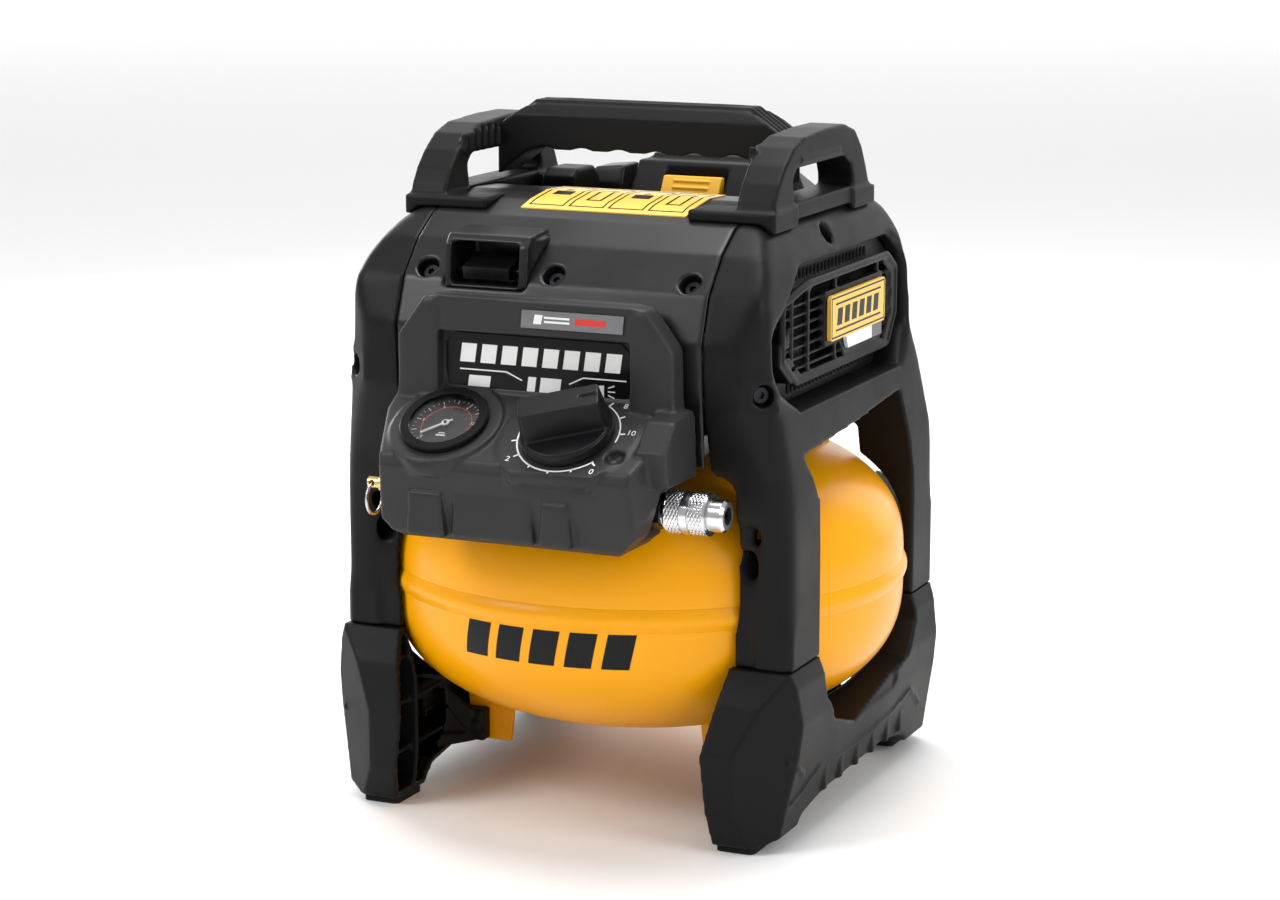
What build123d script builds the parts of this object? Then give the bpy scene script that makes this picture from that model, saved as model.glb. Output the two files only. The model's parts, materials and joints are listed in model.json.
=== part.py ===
"""Battery air compressor with a flat round tank between two side frames.

Millimetres, +Z up.  The tank axis is the line X = 0, Y = 0 while the pieces are drawn, the floor
is Z = 0, the control console faces -Y and the quick coupler points along +X.  Each piece is moved
on export, so that the whole machine stands centred on the origin.
"""

import os
from math import atan2, cos, degrees, pi, sin, sqrt

from build123d import *

os.makedirs("parts", exist_ok=True)

# ---- Tank -------------------------------------------------------------------------------------
TANK_R = 160.0          # outer radius of both shells
TANK_WALL = 2.5
TANK_SEAM_Z = 135.0     # height of the girth weld
SKIRT = 8.0             # straight skirt of a shell, each side of the weld
TANK_CROWN = 79.0       # rise of the upper shell over its skirt
TANK_DISH = 85.0        # drop of the lower shell under its skirt
SHELL_POWER = 2.48      # superellipse power of a shell's side
BAND_H = 14.0           # weld band height
BAND_T = 2.4            # weld band thickness
TANK_GAP = 3.0          # air between the tank and the frame round it

TANK_TOP = TANK_SEAM_Z + SKIRT + TANK_CROWN
TANK_LOW = TANK_SEAM_Z - SKIRT - TANK_DISH
DECK = TANK_TOP         # heights in the upper half are counted from here

# ---- Side frames ------------------------------------------------------------------------------
LEG_X = TANK_R - 14.0   # outer face of a leg
LEG_Y = TANK_R - 35.0   # front face of a front leg; the rear leg stands a little further out
LEG_DEPTH = 48.0        # front to back
FRAME_WALL = 3.5
BOOT_X = LEG_X + 7.0    # widest point of a leg's boot
BOOT_TOP = 107.0        # seam between a leg and its boot
PAD_T = 4.0             # rubber pad under a foot
SPLIT_X = LEG_X - 48.0  # seam between a side frame and the centre shroud
SPLIT_GAP = 0.5
REAR_Y = LEG_Y + 5.0    # rear face of a rear leg

# ---- Centre shroud and console ----------------------------------------------------------------
SHELL_T = 3.0           # wall of the shroud and of the console
CREST = DECK + 147.0    # highest line of the shroud
CONSOLE_Y = -(LEG_Y + 80.0)     # console lip
CONSOLE_BACK = -(LEG_Y + 19.6)  # where the console meets the shroud
CONSOLE_HALF = 90.0             # half width of the console
FACE_TILT = atan2(0.53, 0.848)  # the instrument face leans back by this from level
FACE_Y = CONSOLE_Y + 25.0       # line through both instrument centres
FACE_Z = DECK + 26.0

# ---- Instruments and fittings -----------------------------------------------------------------
GAUGE_X = -46.0
GAUGE_R = 25.5
KNOB_X = 32.0
KNOB_R = 27.0
STEM_R = 4.0
RUN_FIT = 0.05          # radial clearance of every running fit
AIR_Z = DECK - 16.0     # axis height of the outlet line behind the console
AIR_Y = CONSOLE_Y + 43.0
COUPLER_R = 12.6
COUPLER_BODY_R = 9.0
COUPLER_BORE_R = 5.2
COUPLER_X = 75.0        # where the hexagon adapter leaves the console
COUPLER_END = 122.0
SLEEVE_TRAVEL = 2.5
RELIEF_TIP = -107.0
RELIEF_TRAVEL = 3.0
RING_R = 9.5
RING_WIRE = 0.9

# ---- Handles ----------------------------------------------------------------------------------
HANDLE_TOP = DECK + 198.0
BAR_H = 30.0
BAR_DEPTH = 32.0
SIDE_GRIP_X0 = LEG_X - 52.0
SIDE_GRIP_X1 = LEG_X - 28.0
GRIP_PITCH = 25.0       # spacing of the finger notches

# ---- Battery ----------------------------------------------------------------------------------
PACK_W = 86.0
PACK_Y0 = 62.0
PACK_Y1 = 150.0
PACK_Z0 = DECK + 30.0
PACK_Z1 = DECK + 153.0
PACK_GAP = 2.5          # air between the pack and the bay round it
RAIL_X = 26.0           # rail centre, from the middle plane
RAIL_W = 8.0
RAIL_CLEAR = 0.35

# ---- Motor and pump ---------------------------------------------------------------------------
CRANK_Y = -20.0
CRANK_Z = DECK + 66.0
SHAFT_R = 6.0
STROKE = 18.0
PIN_GAP = 0.5           # axial gap between the crank pin and the rod's big end
PISTON_R = 22.0
PISTON_X = -23.5        # middle plane of the cylinder
CASE_X0, CASE_X1 = -42.0, 2.0
CASE_R = 36.0
CASE_CAVITY_R = 30.0
STATOR_R = 42.0
ROTOR_R = 24.0
FAN_R = 47.0
HEAD_Y = CRANK_Y - 88.0     # face between the cylinder and its valve plate


# ---- Small helpers ----------------------------------------------------------------------------
def prism(plane, points, start, end, radius=0.0):
    """Prism from a closed outline drawn in plane's own axes, from start to end along its normal."""
    if radius:
        wire = FilletPolyline(*points, radius=radius, close=True)
    else:
        wire = Polyline(*points, close=True)
    face = plane.offset(start) * make_face(wire)
    return extrude(face, amount=end - start, dir=tuple(plane.z_dir))


ALONG_X = Plane.YZ
ALONG_Y = Plane(origin=(0, 0, 0), x_dir=(-1, 0, 0), z_dir=(0, 1, 0))
ALONG_Z = Plane.XY


def along_x(points, start, end, radius=0.0):
    """Prism along X; the outline's points are (y, z)."""
    return prism(ALONG_X, points, start, end, radius)


def along_y(points, start, end, radius=0.0):
    """Prism along Y; the outline's points are (x, z)."""
    return prism(ALONG_Y, [(-x, z) for x, z in points], start, end, radius)


def along_z(points, start, end, radius=0.0):
    """Prism along Z; the outline's points are (x, y)."""
    return prism(ALONG_Z, points, start, end, radius)


def block(x0, x1, y0, y1, z0, z1):
    """Box from its limits."""
    return Pos((x0 + x1) / 2, (y0 + y1) / 2, (z0 + z1) / 2) * Box(x1 - x0, y1 - y0, z1 - z0)


def bar(start, end, radius):
    """Round bar from one point to another."""
    start, end = Vector(*start), Vector(*end)
    axis = end - start
    plane = Plane(origin=start, z_dir=axis)
    return extrude(plane * Circle(radius), amount=axis.length, dir=tuple(axis.normalized()))


def hexagon(start, end, across):
    """Hexagonal bar, size given across its flats."""
    start, end = Vector(*start), Vector(*end)
    axis = end - start
    face = Plane(origin=start, z_dir=axis) * RegularPolygon(across / 2, 6, major_radius=False)
    return extrude(face, amount=axis.length, dir=tuple(axis.normalized()))


def turned(profile):
    """Solid of revolution about Z; the profile's points are (radius, z)."""
    face = Plane.XZ * make_face(Polyline(*profile, close=True))
    return revolve(face, axis=Axis.Z)


def flip(shape):
    """The same piece on the other side of the machine."""
    return mirror(shape, about=Plane.YZ)


def inset(points, amount):
    """Outline moved inwards by amount, as a list of points (corners stay sharp)."""
    area = sum(a[0] * b[1] - b[0] * a[1] for a, b in zip(points, points[1:] + points[:1]))
    side = 1 if area > 0 else -1
    moved = []
    for before, here, after in zip(points[-1:] + points[:-1], points, points[1:] + points[:1]):
        first = (here[0] - before[0], here[1] - before[1])
        second = (after[0] - here[0], after[1] - here[1])
        l1, l2 = sqrt(first[0] ** 2 + first[1] ** 2), sqrt(second[0] ** 2 + second[1] ** 2)
        n1 = (-side * first[1] / l1, side * first[0] / l1)
        n2 = (-side * second[1] / l2, side * second[0] / l2)
        stretch = amount / (1 + n1[0] * n2[0] + n1[1] * n2[1])
        moved.append((here[0] + (n1[0] + n2[0]) * stretch, here[1] + (n1[1] + n2[1]) * stretch))
    return moved


def save(name, pieces, centre):
    """Write one node; several solids make one node of separate pieces."""
    pieces = [centre * piece for piece in pieces]
    export_step(pieces[0] if len(pieces) == 1 else Compound(children=pieces), f"parts/{name}.step")


# ---- Tank -------------------------------------------------------------------------------------
def shell_height(radius, reach, rise):
    """Height of a shell's surface over its skirt, at a distance from the tank axis."""
    return rise * (1 - (radius / reach) ** SHELL_POWER) ** (1 / SHELL_POWER)


def tank_side(grow, sign):
    """Half section (r, z) of one shell, grown by a distance, from the axis out to the skirt."""
    reach = TANK_R + grow
    rise = (TANK_CROWN if sign > 0 else TANK_DISH) + grow
    edge = TANK_SEAM_Z + sign * SKIRT
    steps = 10
    points = []
    for step in range(steps + 1):
        angle = pi / 2 * (1 - step / steps)
        r = reach * max(cos(angle), 0.0) ** (2 / SHELL_POWER)
        z = rise * max(sin(angle), 0.0) ** (2 / SHELL_POWER)
        points.append((r if step else 0.0, edge + sign * z))
    return points


def shell_solid(grow, sign):
    """Solid under one shell's outer surface, down to the girth weld."""
    points = tank_side(grow, sign)
    curve = Spline(*points, tangents=[(1, 0), (0, -sign)])
    reach = TANK_R + grow
    rest = Polyline(points[-1], (reach, TANK_SEAM_Z), (0, TANK_SEAM_Z), points[0])
    return revolve(Plane.XZ * make_face([curve, rest]), axis=Axis.Z)


def tank_body(grow=0.0):
    """The whole tank as one solid, grown by a distance."""
    return shell_solid(grow, 1) + shell_solid(grow, -1)


def tank_shell(sign):
    """One pressed steel shell."""
    return shell_solid(0.0, sign) - shell_solid(-TANK_WALL, sign)


def weld_band():
    """Flat band over the girth weld."""
    low, high = TANK_SEAM_Z - BAND_H / 2, TANK_SEAM_Z + BAND_H / 2
    edge = 1.0
    outer = TANK_R + BAND_T
    return turned([(TANK_R, low), (outer - edge, low), (outer, low + edge), (outer, high - edge),
                   (outer - edge, high), (TANK_R, high)])


# ---- Side frames ------------------------------------------------------------------------------
ARCH_FRONT = [(-LEG_Y, DECK - 52), (-LEG_Y - 4, DECK - 4), (-LEG_Y - 17, DECK + 40), (-LEG_Y - 19, DECK + 76),
              (-LEG_Y - 9, DECK + 103), (-LEG_Y + 10, DECK + 124), (-LEG_Y + 30, DECK + 137)]


def panel_outline():
    """Side view (y, z) of the upper side frame: front leg, arch, rear leg."""
    front_back = -LEG_Y + LEG_DEPTH
    rear_front = REAR_Y - LEG_DEPTH + 2
    return ([(-LEG_Y + 1, BOOT_TOP)] + ARCH_FRONT + [(-LEG_Y + 58, DECK + 145), (REAR_Y - 50, DECK + 145),
             (REAR_Y - 32, DECK + 128), (REAR_Y - 23, DECK + 98), (REAR_Y - 21, DECK + 50),
             (REAR_Y - 9, DECK), (REAR_Y - 1, DECK - 24), (REAR_Y, BOOT_TOP), (rear_front, BOOT_TOP),
             (rear_front, DECK - 34), (rear_front - 14, DECK + 19), (-5, DECK + 13),
             (-LEG_Y + 30, DECK + 8), (front_back, DECK - 22), (front_back, BOOT_TOP)])


def panel_profile(wall):
    """Front view (x, z) of the upper side frame; wall > 0 gives the hollow inside it."""
    top = DECK + 145 - wall
    outer = [(LEG_X, BOOT_TOP), (LEG_X, DECK - 50), (LEG_X - 1, DECK - 13), (LEG_X - 7, DECK + 36),
             (LEG_X - 11, DECK + 55), (LEG_X - 12, DECK + 90), (LEG_X - 17, DECK + 114),
             (LEG_X - 27, DECK + 132), (LEG_X - 43, DECK + 145)]
    if wall:
        outer = [(x - wall, min(z, top)) for x, z in outer[:-1]] + [(LEG_X - 43 - wall * 0.4, top)]
        outer[0] = (LEG_X - wall, BOOT_TOP - 1)
        inner = [(SPLIT_X - 20, top), (SPLIT_X - 20, BOOT_TOP - 1)]
    else:
        inner = [(SPLIT_X, top), (SPLIT_X, DECK + 2), (LEG_X - 36, DECK - 8), (LEG_X - 36, BOOT_TOP)]
    return outer + inner


def panel_plan(wall):
    """Top view (x, y) that bevels the outer corners of a side frame."""
    far = 30.0
    return [(SPLIT_X - far, -LEG_Y - 35 + wall), (LEG_X - 46 - wall, -LEG_Y - 35 + wall),
            (LEG_X + 2 - wall, -LEG_Y + 6 + wall * 0.5), (LEG_X + 20, -LEG_Y + 20), (LEG_X + 20, REAR_Y - 30),
            (LEG_X + 2 - wall, REAR_Y - 12 - wall * 0.5), (LEG_X - 18 - wall, REAR_Y + 6),
            (SPLIT_X - far, REAR_Y + 6)]


def panel_solid(wall):
    """Solid form of the upper side frame, or of the hollow inside it."""
    outline = panel_outline()
    if wall:
        outline = inset(outline, wall)
        outline = [(y, z - 2 * wall if abs(z - BOOT_TOP - wall) < 0.01 else z) for y, z in outline]
    side = along_x(outline, SPLIT_X - 40, LEG_X + 10)
    front = along_y(panel_profile(wall), -LEG_Y - 60, REAR_Y + 60)
    plan = along_z(panel_plan(wall), BOOT_TOP - 20, DECK + 160)
    return side & front & plan


VENT = [(-LEG_Y + 2, DECK + 80), (-LEG_Y + 2, DECK + 53), (-LEG_Y + 30, DECK + 33), (REAR_Y - 55, DECK + 33),
        (REAR_Y - 30, DECK + 58), (REAR_Y - 30, DECK + 100), (REAR_Y - 50, DECK + 114), (-LEG_Y + 58, DECK + 114)]
VENT_FLOOR = LEG_X - 26.0   # outer face of the grille's floor

WELL_R = 6.5
WELL_DEPTH = 9.0
SIDE_WELLS = [((LEG_X - 23, -13, DECK + 127), (0.75, 0, 0.66)), ((LEG_X - 14, -LEG_Y - 8, DECK + 48), (0.7, -0.71, 0))]


def well(at, normal, reach=4.0):
    """Deep round screw recess: the cup round it, the pocket in it and the screw on its floor."""
    at, normal = Vector(*at), Vector(*normal).normalized()
    floor = at - normal * WELL_DEPTH
    cup = bar(floor - normal * 2.5, at + normal * reach, WELL_R + 2)
    pocket = bar(floor, at + normal * 30, WELL_R)
    head = bar(floor, floor + normal * 3.2, 4.6) - hexagon(floor + normal * 1.2, floor + normal * 4, 4.0)
    return cup, pocket, head


def leg_ribs():
    """Stiffening shelves inside the two hollow legs."""
    ribs = []
    for height in (BOOT_TOP + 14, BOOT_TOP + 50, BOOT_TOP + 86):
        ribs.append(block(LEG_X - 30, LEG_X, -LEG_Y - 10, -LEG_Y + LEG_DEPTH, height, height + 3))
        ribs.append(block(LEG_X - 30, LEG_X, REAR_Y - LEG_DEPTH, REAR_Y, height, height + 3))
    return ribs


def side_panel(tank_room):
    """Right upper side frame: a hollow moulding with a vent opening in its arch."""
    solid = panel_solid(0.0)
    panel = solid - panel_solid(FRAME_WALL)
    for rib in leg_ribs():
        panel += rib & solid
    panel += along_x(inset(VENT, -3.0), VENT_FLOOR - 4, LEG_X + 5) & solid
    for at, normal in SIDE_WELLS:
        cup, pocket, _ = well(at, normal)
        panel = panel + (cup & solid) - pocket
    panel -= along_x(VENT, SPLIT_X - 30, LEG_X + 20)
    wedge = along_z([(LEG_X - 50, -LEG_Y - 16), (LEG_X - 36, -LEG_Y + 3), (LEG_X - 25, -LEG_Y + 3),
                     (LEG_X - 12, -LEG_Y - 4), (LEG_X - 12, -LEG_Y - 16)], BOOT_TOP - 5, DECK - 30)
    legs = solid & block(SPLIT_X, LEG_X + 5, -LEG_Y - 20, REAR_Y + 10, BOOT_TOP, DECK - 40)
    panel += legs & (tank_body(TANK_GAP + FRAME_WALL) - tank_room)
    return (panel - wedge - tank_room).solids().sort_by(SortBy.VOLUME)[-1]


def boot_outline():
    """Side view (y, z) of a lower side frame: front boot, bar, rear boot."""
    front, rear = -LEG_Y, REAR_Y
    return [(front - 1, BOOT_TOP), (front - 12, 88), (front - 22, 60), (front - 22, 25), (front - 16, PAD_T),
            (front + 21, PAD_T), (front + 29, 15), (front + 65, 21), (rear - 90, 23), (rear - 50, 15),
            (rear - 34, PAD_T), (rear + 4, PAD_T), (rear + 10, 25), (rear + 10, 60), (rear + 4, 90),
            (rear + 0.5, BOOT_TOP), (rear - LEG_DEPTH, BOOT_TOP), (rear - LEG_DEPTH - 2, 92), (rear - 70, 73),
            (rear - 94, 68), (front + 117, 59), (front + 96, 55), (front + 60, 66), (front + 46, 84),
            (front + LEG_DEPTH - 2, BOOT_TOP)]


def boot_profile(wall):
    """Front view (x, z) of a lower side frame."""
    outer = [(LEG_X - 16, PAD_T), (LEG_X - 4, 9), (LEG_X - 1, 26), (BOOT_X - 2, 57), (BOOT_X, 76),
             (BOOT_X - 3, 98), (BOOT_X - 6.5, BOOT_TOP)]
    if wall:
        outer = [(x - wall, z) for x, z in outer]
        outer[0] = (LEG_X - 16 - wall, PAD_T + wall)
        return outer + [(LEG_X - 70, BOOT_TOP), (LEG_X - 70, PAD_T + wall)]
    return outer + [(LEG_X - 38, BOOT_TOP), (LEG_X - 48, 57), (LEG_X - 42, PAD_T)]


def boot_plan(wall):
    """Top view (x, y) that bevels the outer corners of the boots."""
    return [(LEG_X - 70, -LEG_Y - 24 + wall), (LEG_X - 30 - wall, -LEG_Y - 24 + wall),
            (BOOT_X + 1 - wall, -LEG_Y + 4), (BOOT_X + 20, -LEG_Y + 20), (BOOT_X + 20, REAR_Y - 30),
            (BOOT_X + 1 - wall, REAR_Y - 16), (LEG_X - 30 - wall, REAR_Y + 11 - wall),
            (LEG_X - 70, REAR_Y + 11 - wall)]


def boot_solid(wall):
    """Solid form of the lower side frame, or of the hollow inside it."""
    outline = inset(boot_outline(), wall) if wall else boot_outline()
    side = along_x(outline, LEG_X - 80, BOOT_X + 10)
    front = along_y(boot_profile(wall), -LEG_Y - 60, REAR_Y + 60)
    plan = along_z(boot_plan(wall), 0, BOOT_TOP + 10)
    return side & front & plan


def lower_frame(tank_room):
    """Right lower side frame: two boots joined by a bar, open towards the tank."""
    solid = boot_solid(0.0)
    frame = solid - boot_solid(FRAME_WALL + 0.5)
    for y in (-LEG_Y + 6, REAR_Y - 12):
        frame += block(LEG_X - 45, BOOT_X, y, y + 3, PAD_T, BOOT_TOP) & solid
    for height in (30, 60, 88):
        for y0, y1 in ((-LEG_Y - 22, -LEG_Y + 50), (REAR_Y - 50, REAR_Y + 12)):
            frame += block(LEG_X - 40, BOOT_X, y0, y1, height, height + 3) & solid
    return (frame - tank_room).solids().sort_by(SortBy.VOLUME)[-1]


def foot_pad(y0, y1):
    """Rubber pad under one right-hand foot."""
    pad = block(LEG_X - 41, LEG_X - 17, y0, y1, 0, PAD_T)
    return fillet(pad.edges().filter_by(Axis.Z), 4.0)


def foot_pads():
    """All four pads."""
    pads = [foot_pad(-LEG_Y - 13, -LEG_Y + 19), foot_pad(REAR_Y - 32, REAR_Y + 2)]
    return pads + [flip(pad) for pad in pads]


# ---- Grilles ----------------------------------------------------------------------------------
HUB = inset(VENT, 15.0)
HUB_FACE = VENT_FLOOR + 11.0
PLATE_Y0, PLATE_Y1 = -35.0, 62.0
PLATE_Z0, PLATE_Z1 = DECK + 62.0, DECK + 93.0


def grille():
    """Right-hand grille: a dished insert with a raised, louvred middle."""
    floor = along_x(inset(VENT, 0.3), VENT_FLOOR - 3, VENT_FLOOR)
    hub = along_x(HUB, VENT_FLOOR - 3, HUB_FACE)
    hollow = along_x(inset(HUB, 2.5), VENT_FLOOR - 5, HUB_FACE - 2.5)
    body = floor + hub - hollow
    pitch, slot = 12.0, 5.5
    for row in range(5):
        z = DECK + 52 + row * pitch
        for y0, y1 in ((-104, -52), (-46, 2), (8, 50), (56, 82)):
            cut = block(HUB_FACE - 6, HUB_FACE + 4, y0, y1, z, z + slot)
            body -= cut & along_x(inset(HUB, 7.0), HUB_FACE - 8, HUB_FACE + 6)
    tooth, first, last = 6.0, -70, 62
    for step in range(int((last - first) / tooth)):
        y = first + step * tooth
        body -= block(VENT_FLOOR - 6, VENT_FLOOR + 2, y, y + tooth * 0.55, DECK + 103, DECK + 109)
        body -= block(VENT_FLOOR - 6, VENT_FLOOR + 2, y, y + tooth * 0.55, DECK + 38, DECK + 44)
    rest = block(HUB_FACE - 3, HUB_FACE, PLATE_Y0, PLATE_Y1, PLATE_Z0, PLATE_Z1)
    return body + rest


def nameplate():
    """Blank plate on the grille, with a stepped lower tab."""
    plate = block(HUB_FACE, HUB_FACE + 2.5, PLATE_Y0 + 2, PLATE_Y1 - 2, PLATE_Z0 + 2, PLATE_Z1 - 2)
    return fillet(plate.edges().filter_by(Axis.X), 3.0)


# ---- Centre shroud ----------------------------------------------------------------------------
def shroud_outline():
    """Side view (y, z) of the centre shroud."""
    return [(-LEG_Y - 14, DECK + 4)] + [(y, z + 0.5) for y, z in ARCH_FRONT[2:]] + [
        (-70, DECK + 144), (-48, CREST), (-20, CREST - 1), (4, DECK + 138), (52, DECK + 122), (58, DECK + 116),
        (REAR_Y - 24, DECK + 96), (REAR_Y - 24, DECK + 12), (-LEG_Y + 25, DECK + 4)]


FRONT_WELLS = [(x, -LEG_Y - 4, DECK + 109) for x in (-84, -2, 84)]
FRONT_NORMAL = (0, -0.78, 0.62)


def shroud(tank_room):
    """Centre shroud: a curved sheet moulding over the pump, open at both sides and below."""
    half = SPLIT_X - SPLIT_GAP
    outline = shroud_outline()
    body = along_x(outline, -half, half)
    hollow = [(y, z - 8 if z < DECK + 20 else z) for y, z in inset(outline, SHELL_T)]
    hollow = along_x(hollow, -half - 1, half + 1)
    solid = body
    body = body - hollow
    for at in FRONT_WELLS:
        cup, pocket, _ = well(at, FRONT_NORMAL)
        body = body + (cup & solid) - pocket
    bay = PACK_W / 2 + PACK_GAP
    body -= block(-bay, bay, PACK_Y0 - 2, REAR_Y + 20, DECK - 20, DECK + 160)
    body -= block(-40, 40, -LEG_Y - 30, -LEG_Y - 8, DECK + 20, DECK + 70)
    body -= switch_opening()
    cheek = along_y([(bay, DECK + 100), (bay, DECK + 151), (bay + 20, DECK + 149), (bay + 38, DECK + 132),
                     (bay + 38, DECK + 100)], 62, 104)
    roof = along_x([(50, DECK + 108), (70, DECK + 160), (84, DECK + 160), (104, DECK + 122), (104, DECK + 90)], 0, 90)
    body += cheek & roof
    body += flip(cheek & roof)
    return (body - tank_room).solids().sort_by(SortBy.VOLUME)[-1]


def label_strip():
    """Thin plate of the safety label on the crest."""
    rise = 6.5 / (LEG_Y - 100)
    top = [(-84, DECK + 144 - 14 * rise), (-70, DECK + 144), (-48, CREST), (-24, CREST - 24 / 28)]
    top = [(y, z + 0.02) for y, z in top]
    return along_x(top + [(y, z + 0.7) for y, z in reversed(top)], -45, 62)


def bumpers():
    """Two bevelled stops on the shroud behind the crest."""
    stops = []
    for x in (-70, 70):
        stops.append(along_x([(18, DECK + 130), (18, DECK + 147), (26, DECK + 152), (50, DECK + 152),
                              (58, DECK + 144), (58, DECK + 116.2)], x - 11, x + 11) - shroud_cover())
    return stops


def shroud_cover():
    """Space under the shroud's outer surface."""
    return along_x(shroud_outline(), -SPLIT_X, SPLIT_X)


HOOD_X0, HOOD_X1 = -70.0, -16.0
HOOD_IN0, HOOD_IN1 = HOOD_X0 + 4, HOOD_X1 - 6    # finger opening
SWITCH_X = (HOOD_IN0 + HOOD_IN1) / 2
AXLE_R = 2.5
SWITCH_Y = -LEG_Y + 7.0
SWITCH_Z = DECK + 108.0


def switch_hood():
    """Bevelled hood that shields the rocker switch."""
    top = [(-LEG_Y - 11, DECK + 97), (-LEG_Y - 9, DECK + 124), (-LEG_Y - 4, DECK + 130), (-LEG_Y + 26, DECK + 133),
           (-LEG_Y + 26, DECK + 116), (-LEG_Y + 8, DECK + 97)]
    body = along_x(top, HOOD_X0, HOOD_X1)
    flank = along_z([(HOOD_X1 - 1, -LEG_Y - 8), (HOOD_X1 + 4, -LEG_Y + 8), (HOOD_X1 + 4, -LEG_Y + 26),
                     (HOOD_X1 - 1, -LEG_Y + 26)], DECK + 97, DECK + 140)
    body += flank & along_x([(y, z - 3) for y, z in top], HOOD_X1 - 2, HOOD_X1 + 5)
    body -= along_x([(-LEG_Y - 30, DECK + 101), (-LEG_Y - 30, DECK + 126), (-LEG_Y - 4, DECK + 126),
                     (-LEG_Y + 22, DECK + 126), (-LEG_Y + 22, DECK + 101)], HOOD_IN0, HOOD_IN1)
    body -= switch_axle(AXLE_R + RUN_FIT, 0.3)
    return (body - (shroud_sheet_room() - switch_opening())).solids().sort_by(SortBy.VOLUME)[-1]


def switch_opening():
    """Opening in the shroud behind the hood, where the switch goes through."""
    return block(HOOD_IN0 - 4, HOOD_IN1 + 4, -LEG_Y - 25, -LEG_Y + 24, DECK + 99, DECK + 128)


def switch_axle(radius, spare):
    """The rocker's axle, or the bores for it."""
    reach = (HOOD_IN1 - HOOD_IN0) / 2 + 2.5 + spare
    at = (SWITCH_Y - 6, SWITCH_Z)
    return bar((SWITCH_X - reach, *at), (SWITCH_X + reach, *at), radius)


def shroud_sheet_room():
    """The shroud's own wall, which the hood is trimmed to."""
    outline = shroud_outline()
    half = SPLIT_X
    hollow = [(y, z - 8 if z < DECK + 20 else z) for y, z in inset(outline, SHELL_T)]
    return along_x(outline, -half, half) - along_x(hollow, -half - 1, half + 1)


def rocker_switch():
    """Rocker with a grip rib, on its own short axle."""
    y, z = SWITCH_Y - 6, SWITCH_Z
    rocker = along_x([(y - 8, z - 4), (y - 9, z + 3), (y, z + 6), (y + 8, z + 10), (y + 8, z - 1), (y, z - 4)],
                     SWITCH_X - 15, SWITCH_X + 15)
    return rocker + switch_axle(AXLE_R, 0.0)


# ---- Console ----------------------------------------------------------------------------------
def console_outline():
    """Side view (y, z) of the console."""
    front = CONSOLE_Y
    slope = 0.53 / 0.848
    face_top = front + 50
    face_low = front + 2
    return [(CONSOLE_BACK, DECK + 99), (front + 53, DECK + 95),
            (face_top, FACE_Z + (face_top - FACE_Y) * slope), (face_low, FACE_Z + (face_low - FACE_Y) * slope),
            (front, DECK + 5), (front + 7, DECK - 34), (front + 13, DECK - 38), (front + 52, DECK - 38),
            (CONSOLE_BACK, DECK - 30)]


def console_front():
    """Front view (x, z) of the console."""
    half = CONSOLE_HALF
    return [(-half + 21, DECK - 38), (-half + 9, DECK - 26), (-half, DECK + 3), (-half + 2, DECK + 75),
            (-half + 20, DECK + 99), (half - 20, DECK + 99), (half - 2, DECK + 75), (half, DECK + 3),
            (half - 9, DECK - 26), (half - 21, DECK - 38)]


def console_plan(wall):
    """Top view (x, y) of the console."""
    half = CONSOLE_HALF - wall
    front = CONSOLE_Y + wall
    return [(-half, CONSOLE_BACK + 3), (-half, front + 36), (-half + 13, front), (half - 10, front),
            (half, front + 36), (half, CONSOLE_BACK + 3)]


def face_plane(x, y=None):
    """Plane of the instrument face, its normal leaning towards the user."""
    return Plane(origin=(x, FACE_Y, FACE_Z), x_dir=(1, 0, 0), z_dir=(0, -sin(FACE_TILT), cos(FACE_TILT)))


def disc(plane, radius, start, end):
    """Round disc on a plane, from start to end along its normal."""
    return extrude(plane.offset(start) * Circle(radius), amount=end - start, dir=tuple(plane.z_dir))


def console(tank_room):
    """Control console: a hollow moulding, open at the back."""
    outer = along_x(console_outline(), -CONSOLE_HALF, CONSOLE_HALF)
    outer = outer & along_y(console_front(), CONSOLE_Y - 5, CONSOLE_BACK + 5)
    outer = outer & along_z(console_plan(0.0), DECK - 60, DECK + 120)
    room = [(y + (8 if abs(y - CONSOLE_BACK) < 4 else 0), z) for y, z in inset(console_outline(), SHELL_T)]
    inner = along_x(room, -CONSOLE_HALF, CONSOLE_HALF)
    inner = inner & along_y(inset(console_front(), SHELL_T), CONSOLE_Y - 5, CONSOLE_BACK + 15)
    plan = [(x, y + (8 if y > CONSOLE_BACK else 0)) for x, y in console_plan(SHELL_T)]
    inner = inner & along_z(plan, DECK - 60, DECK + 120)
    notch = COUPLER_X - 1
    outer -= block(notch, 100, CONSOLE_Y + 28, 0, DECK - 60, DECK - 3)
    inner -= block(notch - SHELL_T, 100, CONSOLE_Y + 28 - SHELL_T, 0, DECK - 60, DECK - 3 + SHELL_T)
    body = outer - inner
    label = along_y([(-58, DECK + 40), (-58, DECK + 68), (-50, DECK + 76), (50, DECK + 76), (58, DECK + 68),
                     (58, DECK + 40)], CONSOLE_Y, CONSOLE_Y + 52)
    body -= label & block(-60, 60, CONSOLE_Y + 30, CONSOLE_Y + 51.2, DECK + 44, DECK + 77)
    body -= disc(face_plane(GAUGE_X), GAUGE_R - 0.4, -6, 6)
    body -= disc(face_plane(KNOB_X), STEM_R + 5, -6, 6)
    body -= bar((COUPLER_X - 12, AIR_Y, AIR_Z), (COUPLER_END, AIR_Y, AIR_Z), 11.6)
    body -= bar((RELIEF_TIP, AIR_Y, AIR_Z), (-60, AIR_Y, AIR_Z), 7.5)
    return (body - tank_room).solids().sort_by(SortBy.VOLUME)[-1]


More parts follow.
